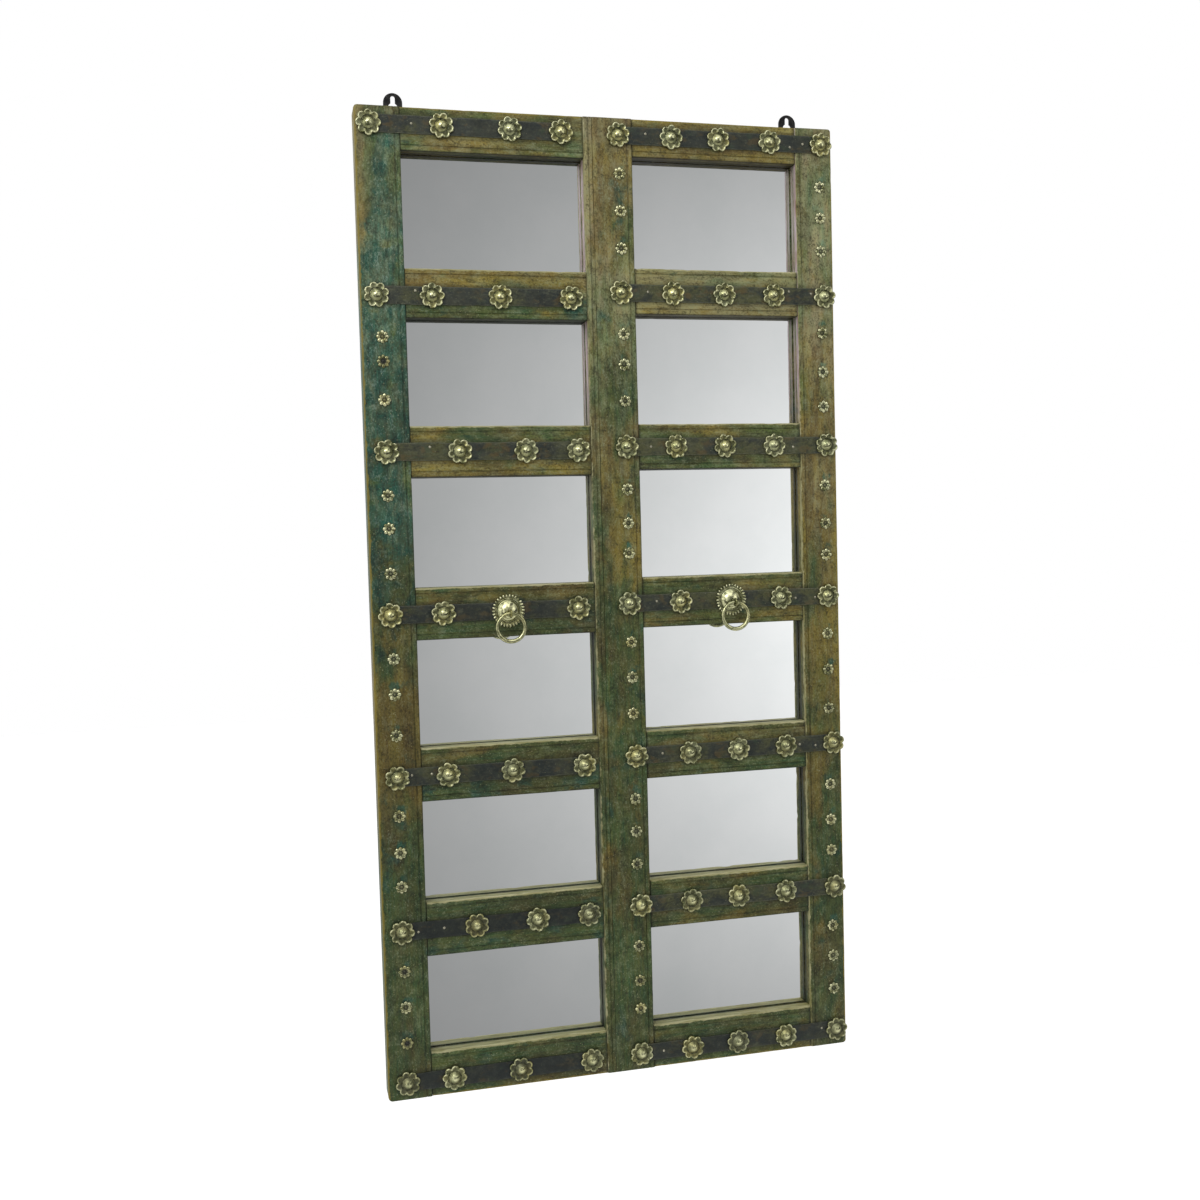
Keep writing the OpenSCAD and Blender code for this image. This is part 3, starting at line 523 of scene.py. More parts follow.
def timberPiece(name, along, material, body="leaves"):
    look = timberShape
    low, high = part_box(name)
    work = weldedMesh(name)

    def cut(axis, places):
        for place in places:
            if low[axis] + 0.2 * mm < place < high[axis] - 0.2 * mm:
                cutAcross(work, axis, place)

    def evenly(axis, step):
        count = max(1, int((high[axis] - low[axis]) / (step * mm)))
        return [low[axis] + (high[axis] - low[axis]) * i / count for i in range(1, count)]

    cut(1, [-d * mm for d in look["depthCuts"]])
    if along == "z":
        edgeX, turn = openEdge[name]
        cut(0, evenly(0, look["columnStep"]) + [edgeX + turn * e * mm for e in look["edgeCuts"]])
        cut(2, evenly(2, look["rowStep"]))
    else:
        cut(2, evenly(2, look["columnStep"]) + [low.z + e * mm for e in look["edgeCuts"]]
            + [high.z - e * mm for e in look["edgeCuts"]])
        cut(0, evenly(0, look["rowStep"]))
    work.normal_update()
    work.verts.ensure_lookup_table()
    points = np.array([v.co for v in work.verts])
    normals = np.array([v.normal for v in work.verts])
    edge, rim, grimeAndShade, paintedHighlight, coats, depth = memberMasks(name, points)
    stretch = (26, 26, 5) if along == "z" else (5, 26, 26)
    ripple = wobble(points, stretch, 1.0)
    chip = wobble(points, 34, 5.0, 4)
    nick = wobble(points, 95, 9.0, 3)
    loss = look["ripple"] * (0.8 + ripple)
    loss = loss + edge * look["edgeLoss"] * (0.6 + ripple)
    worst = np.clip(chip - 0.32, 0, 1) * 2.2 + np.clip(nick - 0.45, 0, 1) * 0.9
    loss = loss + np.maximum(edge, 0.2 * rim) * worst * look["chipDepth"]
    loss = np.clip(loss, 0.02, 3.2) * (0.06 + 0.94 * smooth(depth, 18.5, 22))
    points = points - normals * (loss * mm)[:, None]
    faces = [tuple(v.index for v in f.verts) for f in work.faces]
    work.free()
    pale = wobble(points, (7, 7, 7), 13.0)
    coats = np.clip(coats + 0.16 * pale[:, None] * np.array([1, -0.6, -0.8, 0.5]), 0, 1)
    worn = np.stack([np.clip(edge + 0.5 * worst * edge, 0, 1), grimeAndShade, np.zeros(len(edge)), rim], 1)
    height = points[:, 2]
    blotch = wobble(points, (9, 9, 5) if along == "z" else (5, 9, 9), 33.0, 4)
    # darker towards the bottom and in blotches
    dark = np.clip(0.1 + 0.3 * smooth(-height, -0.35, 0.3) + 0.35 * np.clip(blotch, -0.3, 1), 0, 0.8)
    # where the painted highlight turns rose and lilac, high on the stiles
    rosy = smooth(points[:, 2], 0.2, 0.4) * (along == "z")
    toneAndLight = np.stack([dark, paintedHighlight, rosy, dark], 1)
    for x, z, wide, tall, kind, amount in smudges:
        spot = bell((points[:, 0] / mm - x) / wide, 1) * bell((points[:, 2] / mm - z) / tall, 1) * amount
        if kind == "smear":
            worn[:, 2] = np.maximum(worn[:, 2], spot)
        elif kind == "soot":
            toneAndLight[:, 0] = np.clip(toneAndLight[:, 0] + spot, 0, 0.95)
        else:
            column = ["ochre", "green", "teal", "pale"].index(kind)
            coats[:, column] = np.clip(coats[:, column] + spot, 0, 1)
    piece = makePiece(name + "_timber", points, faces, material, body, 32,
                      {"coats": coats, "worn": worn, "toneAndLight": toneAndLight})
    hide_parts(name)
    return piece


# Listed patches: x, z, half width, half height in mm, kind, amount
smudges = [
    (-420, 520, 34, 50, "pale", 0.25), (-405, 640, 30, 80, "pale", 0.15),
    (-410, 400, 60, 150, "soot", 0.12), (-410, 130, 60, 180, "soot", 0.15),
    (-410, -150, 60, 150, "soot", 0.12), (-410, -640, 60, 190, "soot", 0.17),
    (-410, -680, 60, 200, "green", 0.22), (-410, -680, 60, 200, "ochre", -0.25),
    (-10, 130, 60, 140, "soot", 0.14), (420, 130, 60, 200, "soot", 0.08),
    (420, -500, 60, 200, "soot", 0.08), (-447, 800, 19, 130, "ochre", 0.7),
    (-447, 800, 18, 130, "green", -0.6), (-447, 800, 18, 130, "teal", -0.7),
    (-446, 660, 16, 60, "ochre", 0.5), (-446, 640, 14, 60, "green", -0.4),
    (-405, 770, 14, 60, "teal", 0.25), (-408, 650, 22, 60, "teal", 0.2), (-404, 570, 20, 40, "teal", 0.3),
    (230, 575, 260, 50, "soot", -0.35), (230, 575, 260, 50, "pale", 0.3),
    (230, -265, 260, 26, "soot", -0.3), (425, 720, 40, 90, "pale", 0.3),
    (425, 700, 40, 130, "soot", -0.3), (-40, 700, 12, 150, "pale", 0.4), (27, 735, 13, 45, "teal", 0.7),
    (-320, 822, 70, 12, "ochre", 0.5), (-420, 430, 16, 90, "teal", 0.3), (-405, 180, 22, 60, "teal", 0.3),
    (30, 560, 20, 50, "pale", 0.3), (-300, 600, 60, 14, "ochre", 0.4), (-120, 530, 60, 14, "ochre", 0.4),
]


def ornamentPlaces(name, fold=8):  # the middle of each loose part of a node, in mm, and its turn
    work = weldedMesh(name)
    seen, places = set(), []
    for first in work.verts:
        if first in seen:
            continue
        seen.add(first)
        island, waiting = [], [first]
        while waiting:
            point = waiting.pop()
            island.append((point.co.x / mm, point.co.z / mm))
            for side in point.link_edges:
                other = side.other_vert(point)
                if other not in seen:
                    seen.add(other)
                    waiting.append(other)
        flat = np.array(island)
        middle = (flat.min(0) + flat.max(0)) / 2
        across, up = (flat - middle).T
        reach = np.hypot(across, up)
        tips = np.exp(1j * fold * np.arctan2(up, across))[reach > reach.max() - 0.15].mean()
        places.append((middle[0], middle[1], float(np.angle(tips)) / fold))
    work.free()
    return sorted(places, key=lambda place: (-round(place[1]), place[0]))


rosettePlaces = ornamentPlaces("rosettes")

for x, z, turn in rosettePlaces:  # older paint is left just above the rosettes
    amount = 0.75 if x < 0 else 0.5
    smudges.append((x + 2, z + 14, 13, 12, "smear", amount))

for name in openEdge:
    timberPiece(name, "z", stileTimber)
print("stiles cut and worn")
for name in leafOf:
    timberPiece(name, "x", railTimber)
print("rails cut and worn")


ironLook = {
    "dark": "#1d2725", "brown": "#36392e", "rust": "#5a4a26", "dull": "#6a6c58", "green": "#35462f",
    "olive": "#55562e", "black": "#0f1714", "fleck": "#858468", "metallic": 0.25,
}
ironCoats = {  # each strap's share of old paint, and how dark it is
    "left_strap_1": (0.10, 0.36), "left_strap_2": (0.24, 0.28), "left_strap_3": (0.42, 0.22),
    "left_strap_4": (0.22, 0.50), "left_strap_5": (0.30, 0.45), "left_strap_6": (0.08, 0.98),
    "left_strap_7": (0.10, 0.96), "right_strap_1": (0.10, 0.45), "right_strap_2": (0.55, 0.14),
    "right_strap_3": (0.55, 0.16), "right_strap_4": (0.50, 0.24), "right_strap_5": (0.38, 0.34),
    "right_strap_6": (0.48, 0.22), "right_strap_7": (0.20, 0.72),
}


def ironMaterial():
    look = painted(ironLook)
    material, tree, shader, place = newMaterial("wroughtIron")
    edge, paintShare, sooty, _ = maskParts(tree, "worn")
    broad = noiseAt(tree, place, 30.0, 6.0, 0.65)
    pits = noiseAt(tree, place, 230.0, 5.0, 0.6)
    colour = blendColour(tree, fitRange(tree, broad, 0.38, 0.62), look["dark"], look["brown"])
    spots = useGroup(tree, mottle, {"Place": place, "Scale": 210.0, "Stretch": (0.7, 1, 1)})
    old = paintMask(tree, place, (26, 44, 44), paintShare, 0.14, 29.0)
    colour = layOver(tree, colour, old, 0.8, look["olive"])
    colour = layOver(tree, colour, spots["Dark"], 0.7, look["black"])
    colour = layOver(tree, colour, spots["Light"], 0.4, look["dull"])
    rust = paintMask(tree, place, (40, 60, 60), 0.3, 0.06, 3.0)
    colour = layOver(tree, colour, rust, 0.7, look["rust"])
    drips = paintMask(tree, place, (30, 50, 50), 0.26, 0.05, 17.0)
    colour = layOver(tree, colour, drips, 0.6, look["green"])
    colour = layOver(tree, colour, rubMask(tree, place, edge, 0.8, 120.0), 0.5, look["dull"])
    dust = useGroup(tree, dustAndFlecks, {"Place": place, "Low": 0.5, "Flecks": 0.22, "Scale": 300.0})
    colour = layOver(tree, colour, dust["Fleck"], 0.5, look["fleck"])
    colour = layOver(tree, colour, dust["Dust"], 0.35, look["dull"])
    uneven = fitRange(tree, noiseAt(tree, place, 70.0, 6.0, 0.7), 0.36, 0.6, 0.6, 1.0)
    soot = calc(tree, "MULTIPLY", sooty, uneven)
    colour = blendColour(tree, soot, colour, look["black"])
    tree.links.new(colour, shader.inputs["Base Color"])
    tree.links.new(fitRange(tree, broad, 0.3, 0.7, 0.5, 0.72), shader.inputs["Roughness"])
    shader.inputs["Metallic"].default_value = look["metallic"]
    bumpInto(tree, shader, calc(tree, "ADD", pits, calc(tree, "MULTIPLY", broad, 2.0)), 0.5, 0.0009)
    return material


wroughtIron = ironMaterial()
strapShape = {"step": 3.2, "edgeLoss": 0.9, "hammer": 0.35}


def strapPiece(name):
    look = strapShape
    low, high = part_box(name)
    work = weldedMesh(name)
    for axis in (0, 2):
        count = int((high[axis] - low[axis]) / (look["step"] * mm))
        for k in range(1, count):
            cutAcross(work, axis, low[axis] + (high[axis] - low[axis]) * k / count)
    points = np.array([v.co for v in work.verts])
    x, z = points[:, 0] / mm, points[:, 2] / mm
    toEdge = np.minimum(np.minimum(z - low.z / mm, high.z / mm - z),
                        np.minimum(x - low.x / mm, high.x / mm - x))
    edge = bell(toEdge, 1.6)
    wave = wobble(points, (16, 16, 16), 21.0)
    nick = wobble(points, 70, 25.0)
    middle = (low.z + high.z) / 2
    pull = edge * (look["edgeLoss"] * (0.6 + wave) + 1.6 * np.clip(nick - 0.35, 0, 1))
    points[:, 2] -= np.sign(points[:, 2] - middle) * np.clip(pull, 0, 2.5) * mm
    dent = look["hammer"] * np.clip(0.5 + wobble(points, 55, 29.0), 0, 1.2) + 0.5 * edge
    isFront = points[:, 1] < low.y + 0.5 * mm
    points[:, 1] += np.where(isFront, dent * mm, 0)
    faces = [tuple(v.index for v in f.verts) for f in work.faces]
    work.free()
    blotch = wobble(points, 14, 37.0)
    coat, sooty = ironCoats[name]
    worn = np.stack([edge, np.clip(coat + 0.5 * blotch, 0, 1), np.clip(sooty - 0.15 * blotch, 0, 1),
                     np.ones(len(edge))], 1)
    piece = makePiece(name + "_iron", points, faces, wroughtIron, "leaves", 40, {"worn": worn})
    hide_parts(name)


for rowNumber in range(1, 8):
    strapPiece(f"left_strap_{rowNumber}")
    strapPiece(f"right_strap_{rowNumber}")
print("straps hammered")


brassLook = {
    "bright": "#e4e3b8", "body": "#8f8f5a", "dull": "#5e6038", "hollow": "#22241a", "green": "#4f5a3a",
    "warm": "#96894a", "grey": "#8b917a", "metallic": 0.7, "polishAndHighlight": 1.0,
}


def brassMaterial(name, brightness, seed):
    look = painted(brassLook)
    material, tree, shader, place = newMaterial(name)
    rim, hollow, polishAndHighlight, handled = maskParts(tree, "worn")
    wide = noiseAt(tree, place, 13.0, 2.0, 0.5)
    broad = noiseAt(tree, place, 75.0, 5.0, 0.65)
    fine = noiseAt(tree, place, 420.0, 4.0, 0.6)
    tint = blendColour(tree, fitRange(tree, wide, 0.36, 0.64), look["warm"], look["grey"])
    tint = blendColour(tree, 0.5, tint, look["body"])
    colour = blendColour(tree, fitRange(tree, broad, 0.38, 0.6), look["dull"], tint)
    # bright rims broken by noise: rubbed brass, and a painted highlight
    broken = fitRange(tree, noiseAt(tree, place, 150.0, 4.0, 0.6), 0.4, 0.58, 0.05, 1.0)
    shine = calc(tree, "MULTIPLY", calc(tree, "MULTIPLY", rim, broken), brightness)
    colour = blendColour(tree, shine, colour, look["bright"])
    # polished places painted bright: polish, and a painted highlight at the tops of the domes
    colour = layOver(tree, colour, polishAndHighlight, handled, look["bright"])
    tarnish = paintMask(tree, place, (110, 110, 110), 0.3, 0.08, seed)
    colour = layOver(tree, colour, tarnish, 0.6, look["green"])
    colour = blendColour(tree, hollow, colour, look["hollow"])
    tree.links.new(colour, shader.inputs["Base Color"])
    rough = fitRange(tree, broad, 0.3, 0.7, 0.24, 0.4)
    rough = calc(tree, "ADD", rough, calc(tree, "MULTIPLY", hollow, 0.3))
    rough = calc(tree, "SUBTRACT", rough, calc(tree, "MULTIPLY", polishAndHighlight, 0.14), clamp=True)
    tree.links.new(rough, shader.inputs["Roughness"])
    metal = calc(tree, "SUBTRACT", look["metallic"], calc(tree, "MULTIPLY", hollow, 0.5))
    metal = calc(tree, "ADD", metal, calc(tree, "MULTIPLY", polishAndHighlight, look["polishAndHighlight"] - look["metallic"]),
                 clamp=True)
    tree.links.new(metal, shader.inputs["Metallic"])
    bumpInto(tree, shader, calc(tree, "ADD", fine, calc(tree, "MULTIPLY", broad, 2.0)), 0.35, 0.0004)
    return material


bossBrass = brassMaterial("agedBrass", 0.95, 2.0)
ringBrass = brassMaterial("handledBrass", 1.0, 7.0)

bossShape = {
    "petals": 8, "petalRing": 15.4, "petalRadius": 7.35, "rimHeight": 4.0, "cupHeight": 2.2,
    "domeRadius": 12.0, "domeHeight": 9.0, "columns": 80,
}


def flowerBoss(seed, turn):  # points in mm: right, up, out; then faces, and rim, hollow and polish masks, where rim and polish also hold painted highlights
    look = bossShape
    petals, reach, petal = look["petals"], look["petalRing"], look["petalRadius"]
    angle = np.arange(look["columns"]) / look["columns"] * 2 * math.pi
    half = math.pi / petals
    fold = (angle + half) % (2 * half) - half
    outline = reach * np.cos(fold) + np.sqrt(petal ** 2 - (reach * np.sin(fold)) ** 2)
    foot = look["domeRadius"]  # the dome ends here, and a groove parts it from the petals
    dome = [0.0, 1.8, 3.8, 5.8, 7.6, 9.2, 10.5, 11.4, 11.9]
    spread = [0.0, 0.09, 0.18, 0.28, 0.38, 0.48, 0.58, 0.68, 0.77, 0.84, 0.89, 0.93, 0.965, 0.99, 1.0]
    rows = [np.full(len(angle), d) for d in dome]
    inside = foot + 0.3
    rows += [inside + (outline - inside) * s for s in spread] + [outline]
    radius = np.array(rows)
    across = radius * np.cos(angle)
    up = radius * np.sin(angle)
    near = np.round(angle / (2 * half)) * 2 * half
    out = np.hypot(across - reach * np.cos(near), up - reach * np.sin(near)) / petal  # 1 at a petal's edge
    cup = look["cupHeight"] + (look["rimHeight"] - look["cupHeight"]) * smooth(out, 0.34, 0.8)
    roll = np.sqrt(np.clip(1 - (np.clip(out - 0.8, 0, 1) / 0.23) ** 2, 0.04, 1))
    height = np.where(out < 0.8, cup, look["rimHeight"] * roll)
    stem = look["domeHeight"] * np.clip(1 - (radius / inside) ** 1.75, 0, 1) ** 0.82
    height = np.where(radius < foot + 0.1, np.maximum(stem, 1.8), height)
    isGroove = (radius >= foot + 0.1) & (radius < foot + 0.9)
    height = np.where(isGroove, np.minimum(height, 1.9), height)
    height[-1] = 0.0
    bent = 0.35 * np.array([[noise.noise(Vector((a / 6, b / 6, seed * 3.7))) for a, b in zip(ar, br)]
                            for ar, br in zip(across, up)])
    height = np.where(height > 0.3, np.maximum(height + bent, 0.3), height)
    outer = smooth(radius / outline, 0.72, 0.9)
    isPetal = radius > foot + 0.5
    # petal rims painted bright, most at the outer edge: rubbed brass, and a painted highlight
    rim = smooth(out, 0.5, 0.78) * (1 - 0.9 * smooth(out, 0.9, 1.0)) * (0.1 + 0.75 * outer) * isPetal
    # the dome polished, and painted brightest at its top as a painted highlight
    polishAndHighlight = (radius < foot + 0.2) * smooth(height, 1.8, 3.0) * (1.6 - 1.3 * smooth(radius, 1.5, 8))
    hollow = (radius > foot) * (1 - smooth(out, 0.3, 0.7)) * 0.4
    hollow = np.maximum(hollow, 0.95 * bell(radius - foot - 0.4, 0.9))
    hollow = np.maximum(hollow, (out > 1.0) * isPetal * 0.95)
    hollow[-1] = 0.9
    points = turned(across, up, height, turn, 1 + 0.006 * math.sin(seed * 5.1))
    faces = gridFaces(len(rows), len(angle))
    return points, faces, rim.ravel(), hollow.ravel(), polishAndHighlight.ravel()


rosetteShape = {"beads": 8, "ring": 8.6, "bead": 3.2, "petalMiddle": 7.9, "petalLength": 3.9,
                "petalWidth": 3.3, "button": 2.5, "columns": 64}


def rosette(seed, turn):
    look = rosetteShape
    angle = np.arange(look["columns"]) / look["columns"] * 2 * math.pi
    half = math.pi / look["beads"]
    fold = (angle + half) % (2 * half) - half
    edge = np.maximum(look["ring"] * np.cos(fold) + np.sqrt(
        np.clip(look["bead"] ** 2 - (look["ring"] * np.sin(fold)) ** 2, 0, None)), 9.9)
    inner = [0.0, 1.1, 1.9, 2.4, 2.9, 3.6, 4.3, 5.2]
    spread = [0.0, 0.18, 0.34, 0.5, 0.66, 0.8, 0.92, 1.0]
    rows = [np.full(len(angle), d) for d in inner] + [6.2 + (edge - 6.2) * s for s in spread] + [edge]
    radius = np.array(rows)
    across, up = radius * np.cos(angle), radius * np.sin(angle)
    out = np.hypot((radius * np.cos(fold) - look["petalMiddle"]) / look["petalLength"],
                   radius * np.sin(fold) / look["petalWidth"])  # 1 at a petal's edge
    bead = 0.9 + 2.0 * np.sqrt(np.clip(1 - out ** 2, 0, 1))
    button = 0.8 + 1.6 * np.sqrt(np.clip(1 - (radius / look["button"]) ** 2, 0, 1))
    height = np.where(radius < look["button"], button, np.where(out < 1, bead, 0.8))
    height[-1] = 0.0
    # bead tops painted bright: rubbed brass, and a painted highlight
    rim = (out < 1) * smooth(height, 1.2, 2.2) * (0.35 + 0.6 * smooth(radius, 6, 9))
    hollow = np.where(radius < look["button"], 0.5, 0.92 * (1 - (out < 1)))
    tilt = 0.12 * math.sin(seed * 9.7)
    height = np.where(height > 0.3, height * (1 + tilt * across / 12), height)
    faces = gridFaces(len(rows), len(angle))
    return turned(across, up, height, turn), faces, rim.ravel(), hollow.ravel(), np.zeros(rim.size)


standsOn = {"strap": 44.0, "timber": 42.0}  # how far these faces are from the wall, in mm
oldPaint = {  # what dulls the ornaments, with heights in mm from the middle
    "clean": 500, "dullest": -750, "leftBelow": -480, "leftMore": 1.5, "bottomBelow": -800,
    "bottomMore": 1.25, "rimLoss": 0.8, "cover": 1.1,
    "covered": (-413, 447), "coveredReach": 12,  # one rosette is painted over
}


def joinOrnaments(name, maker, places, depth, material, body, replaced,
                  handled=0.3, dullBelow=0.0):
    look = oldPaint
    allPoints, allFaces, allMasks, count = [], [], [], 0
    for index, (x, z, turn) in enumerate(places):
        points, faces, rim, hollow, polishAndHighlight = maker(index + 1.0, turn)
        dull = dullBelow * smooth(-z, -look["clean"], -look["dullest"])
        dull = dull * (0.8 + 0.4 * math.sin(index * 2.3))
        if x < 0 and z < look["leftBelow"]:
            dull *= look["leftMore"]
        elif z < look["bottomBelow"]:
            dull *= look["bottomMore"]
        if math.hypot(x - look["covered"][0], z - look["covered"][1]) < look["coveredReach"]:
            dull = 1.0
        unpolished = 1 - np.clip(1.4 * rim / rim.max() + polishAndHighlight, 0, 1)
        rim = rim * (1 - look["rimLoss"] * dull)
        hollow = np.clip(np.maximum(hollow, look["cover"] * dull * unpolished), 0, 1)
        placed = np.stack([x + points[:, 0], -depth - points[:, 2], z + points[:, 1]], 1) * mm
        allPoints.append(placed)
        allFaces += [tuple(count + k for k in f) for f in faces]
        allMasks.append(np.stack([rim, hollow, polishAndHighlight, np.full(len(rim), handled)], 1))
        count += len(points)
    piece = makePiece(name, np.concatenate(allPoints), allFaces, material, body, 50,
                      {"worn": np.concatenate(allMasks)})
    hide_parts(replaced)
    return piece


for side in ("left", "right"):
    places = ornamentPlaces(f"{side}_bosses")
    joinOrnaments(f"{side}_flower_bosses", flowerBoss, places, standsOn["strap"], bossBrass, "leaves",
                  f"{side}_bosses", dullBelow=0.4)
    print("flower bosses pressed on the", side, "leaf:", len(places))

joinOrnaments("small_rosettes", rosette, rosettePlaces, standsOn["timber"], bossBrass, "leaves",
              "rosettes", dullBelow=0.55)
print("rosettes pressed:", len(rosettePlaces))

pullShape = {
    "points": 30, "flange": 27.0, "tip": 30.2, "domeRadius": 21.0, "domeHeight": 12.0,
    "rollRadius": 22.6, "rimStart": 24.4,
}


def pullPlate(seed, turn):  # a domed plate with a scalloped rim
    look = pullShape
    columns = look["points"] * 8
    angle = np.arange(columns) / columns * 2 * math.pi
    tooth = 0.5 + 0.5 * np.cos(angle * look["points"])
    edge = look["flange"] + (look["tip"] - look["flange"]) * tooth ** 0.7
    start = look["rimStart"]
    inner = [2.7, 3.2, 5, 8, 11, 14, 16.5, 18.5, 20, 20.8, 21.4, 22.2, 23.4, start]
    rows = [np.full(columns, d) for d in inner]
    rows += [start + (edge - start) * s for s in (0.3, 0.55, 0.75, 0.9, 1.0)]
    rows.append(edge)
    radius = np.array(rows)
    dome = look["domeHeight"] * np.clip(1 - (radius / look["domeRadius"]) ** 2.3, 0, 1) ** 0.8
    roll = bell(radius - look["rollRadius"], 0.8)
    flange = 1.7 + 0.9 * roll
    ridge = smooth(radius, 24, 25.5) * (0.25 + 1.9 * tooth) * np.sqrt(
        np.clip(1 - (np.clip(radius - 27.6, 0, 3) / 2.9) ** 2, 0.05, 1))
    height = np.maximum(dome, flange + ridge)
    height[0] = 2.0
    height[-1] = 0.0
    # teeth, rolled edge and dome top painted bright: rubbed brass, and a painted highlight
    rim = smooth(radius, 24.5, 26.5) * tooth + 0.4 * smooth(dome, 5, 11) + 0.6 * roll
    hollow = 0.8 * smooth(radius, 24.5, 26) * (1 - tooth) ** 2 + 0.75 * bell(radius - 21.2, 0.7)
    hollow[-1] = 0.8
    across, up = radius * np.cos(angle), radius * np.sin(angle)
    points = np.stack([across, up, height], -1).reshape(-1, 3)
    polishAndHighlight = smooth(dome, 0.5, 4)
    faces = gridFaces(len(rows), columns)
    return points, faces, np.clip(rim, 0, 1).ravel(), np.clip(hollow, 0, 1).ravel(), polishAndHighlight.ravel()


ringShape = {"radius": 25.2, "topWire": 3.3, "bottomWire": 3.95, "around": 112, "section": 24}


def ringPiece(side, x):  # a cast ring, thinner at the eye
    look = ringShape
    low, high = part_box(f"{side}_ring")
    middle = (low + high) / 2 / mm
    points, rims = [], []
    for k in range(look["around"]):
        a = 2 * math.pi * k / look["around"]
        share = 0.5 - 0.5 * math.sin(a)
        wire = look["topWire"] + (look["bottomWire"] - look["topWire"]) * share
        wire -= 0.22 * abs(noise.noise(Vector((math.cos(a) * 2, math.sin(a) * 2, x))))
        for j in range(look["section"]):
            b = 2 * math.pi * j / look["section"]
            r = look["radius"] + wire * math.cos(b)
            points.append((middle.x + r * math.cos(a), middle.y - wire * math.sin(b),
                           middle.z + r * math.sin(a)))
            rims.append(0.3 * share + 0.1)
    faces = []
    for k in range(look["around"]):
        for j in range(look["section"]):
            k2 = (k + 1) % look["around"]
            j2 = (j + 1) % look["section"]
            n = look["section"]
            faces.append((k * n + j, k * n + j2, k2 * n + j2, k2 * n + j))
    rims = np.array(rims)
    worn = np.stack([rims, np.zeros(len(rims)), np.full(len(rims), 0.7), np.full(len(rims), 0.25)], 1)
    piece = makePiece(f"{side}_pull_ring", np.array(points) * mm, faces, ringBrass, f"{side}_ring",
                      60, {"worn": worn})
    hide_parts(f"{side}_ring")


for side in ("left", "right"):
    low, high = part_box(f"{side}_ring_plate")
    x, z = (low.x + high.x) / 2 / mm, (low.z + high.z) / 2 / mm
    joinOrnaments(f"{side}_pull_plate", pullPlate, [(x, z, 0)], standsOn["strap"], ringBrass, "leaves",
                  f"{side}_ring_plate", 0.4)
    ringPiece(side, x)
print("ring pulls cast")


silverLook = {"clear": "#eceeee", "hazy": "#e6e9e9", "smooth": 0.012, "rough": 0.03}
boardLook = {"dark": "#6f4f30", "light": "#94704a", "stain": "#5b4128"}
beadLook = {"dark": "#6d4c2a", "light": "#b38a56", "warm": "#8a6436"}
steelLook = {  # dark, light, metallic, least and most roughness
    "blackSteel": ("#0d0d0e", "#1f1f20", 0.6, 0.3, 0.5),
    "screwSteel": ("#8a8a86", "#b4b4b0", 0.95, 0.25, 0.45),
    "nailIron": ("#8f8b78", "#c2bda6", 0.5, 0.35, 0.6),
    "dust": "#77746c", "fleck": "#8d8a80",
}


def silverMaterial():
    look = painted(silverLook)
    material, tree, shader, place = newMaterial("silveredGlass")
    haze = noiseAt(tree, place, 6.0, 5.0, 0.6)
    colour = blendColour(tree, fitRange(tree, haze, 0.3, 0.75), look["clear"], look["hazy"])
    tree.links.new(colour, shader.inputs["Base Color"])
    tree.links.new(fitRange(tree, haze, 0.35, 0.8, look["smooth"], look["rough"]),
                   shader.inputs["Roughness"])
    shader.inputs["Metallic"].default_value = 1.0
    return material


def boardMaterial():
    look = painted(boardLook)
    material, tree, shader, place = newMaterial("pressedBoard")
    fibre = noiseAt(tree, place, 700.0, 4.0, 0.7)
    broad = noiseAt(tree, place, 14.0, 4.0, 0.6)
    colour = blendColour(tree, fibre, look["dark"], look["light"])
    colour = layOver(tree, colour, fitRange(tree, broad, 0.4, 0.7), 0.4, look["stain"])
    tree.links.new(colour, shader.inputs["Base Color"])
    tree.links.new(fitRange(tree, fibre, 0.3, 0.7, 0.6, 0.85), shader.inputs["Roughness"])
    bumpInto(tree, shader, fibre, 0.4, 0.0003)
    return material


def beadMaterial():
    look = painted(beadLook)
    material, tree, shader, place = newMaterial("glazingBeadWood")
    grain = useGroup(tree, woodGrain, {"Place": place, "Stretch": (30, 60, 30), "Pores": 0.4})
    colour = blendColour(tree, grain["Streak"], look["dark"], look["light"])
    colour = layOver(tree, colour, grain["Fine"], 0.3, look["warm"])
    tree.links.new(colour, shader.inputs["Base Color"])
    tree.links.new(fitRange(tree, grain["Fine"], 0.3, 0.7, 0.45, 0.7), shader.inputs["Roughness"])
    bumpInto(tree, shader, grain["Height"], 0.4, 0.0005)
    return material


def steelMaterial(name):
    dark, light, metallic, low, high = steelLook[name]
    material, tree, shader, place = newMaterial(name)
    cloud = noiseAt(tree, place, 90.0, 5.0, 0.6)
    scratch = noiseAt(tree, place, 900.0, 3.0, 0.6)
    colour = blendColour(tree, fitRange(tree, cloud, 0.4, 0.65), paint(dark), paint(light))
    dust = useGroup(tree, dustAndFlecks, {"Place": place, "Low": 0.4, "Flecks": 0.2, "Scale": 500.0})
    colour = layOver(tree, colour, dust["Dust"], 0.25, paint(steelLook["dust"]))
    colour = layOver(tree, colour, dust["Fleck"], 0.3, paint(steelLook["fleck"]))
    tree.links.new(colour, shader.inputs["Base Color"])
    tree.links.new(fitRange(tree, cloud, 0.3, 0.7, low, high), shader.inputs["Roughness"])
    shader.inputs["Metallic"].default_value = metallic
    bumpInto(tree, shader, scratch, 0.25, 0.0002)
    return material


paneShape = {"silverDepth": 15.3, "backDepth": 14.0, "cells": (16, 12)}


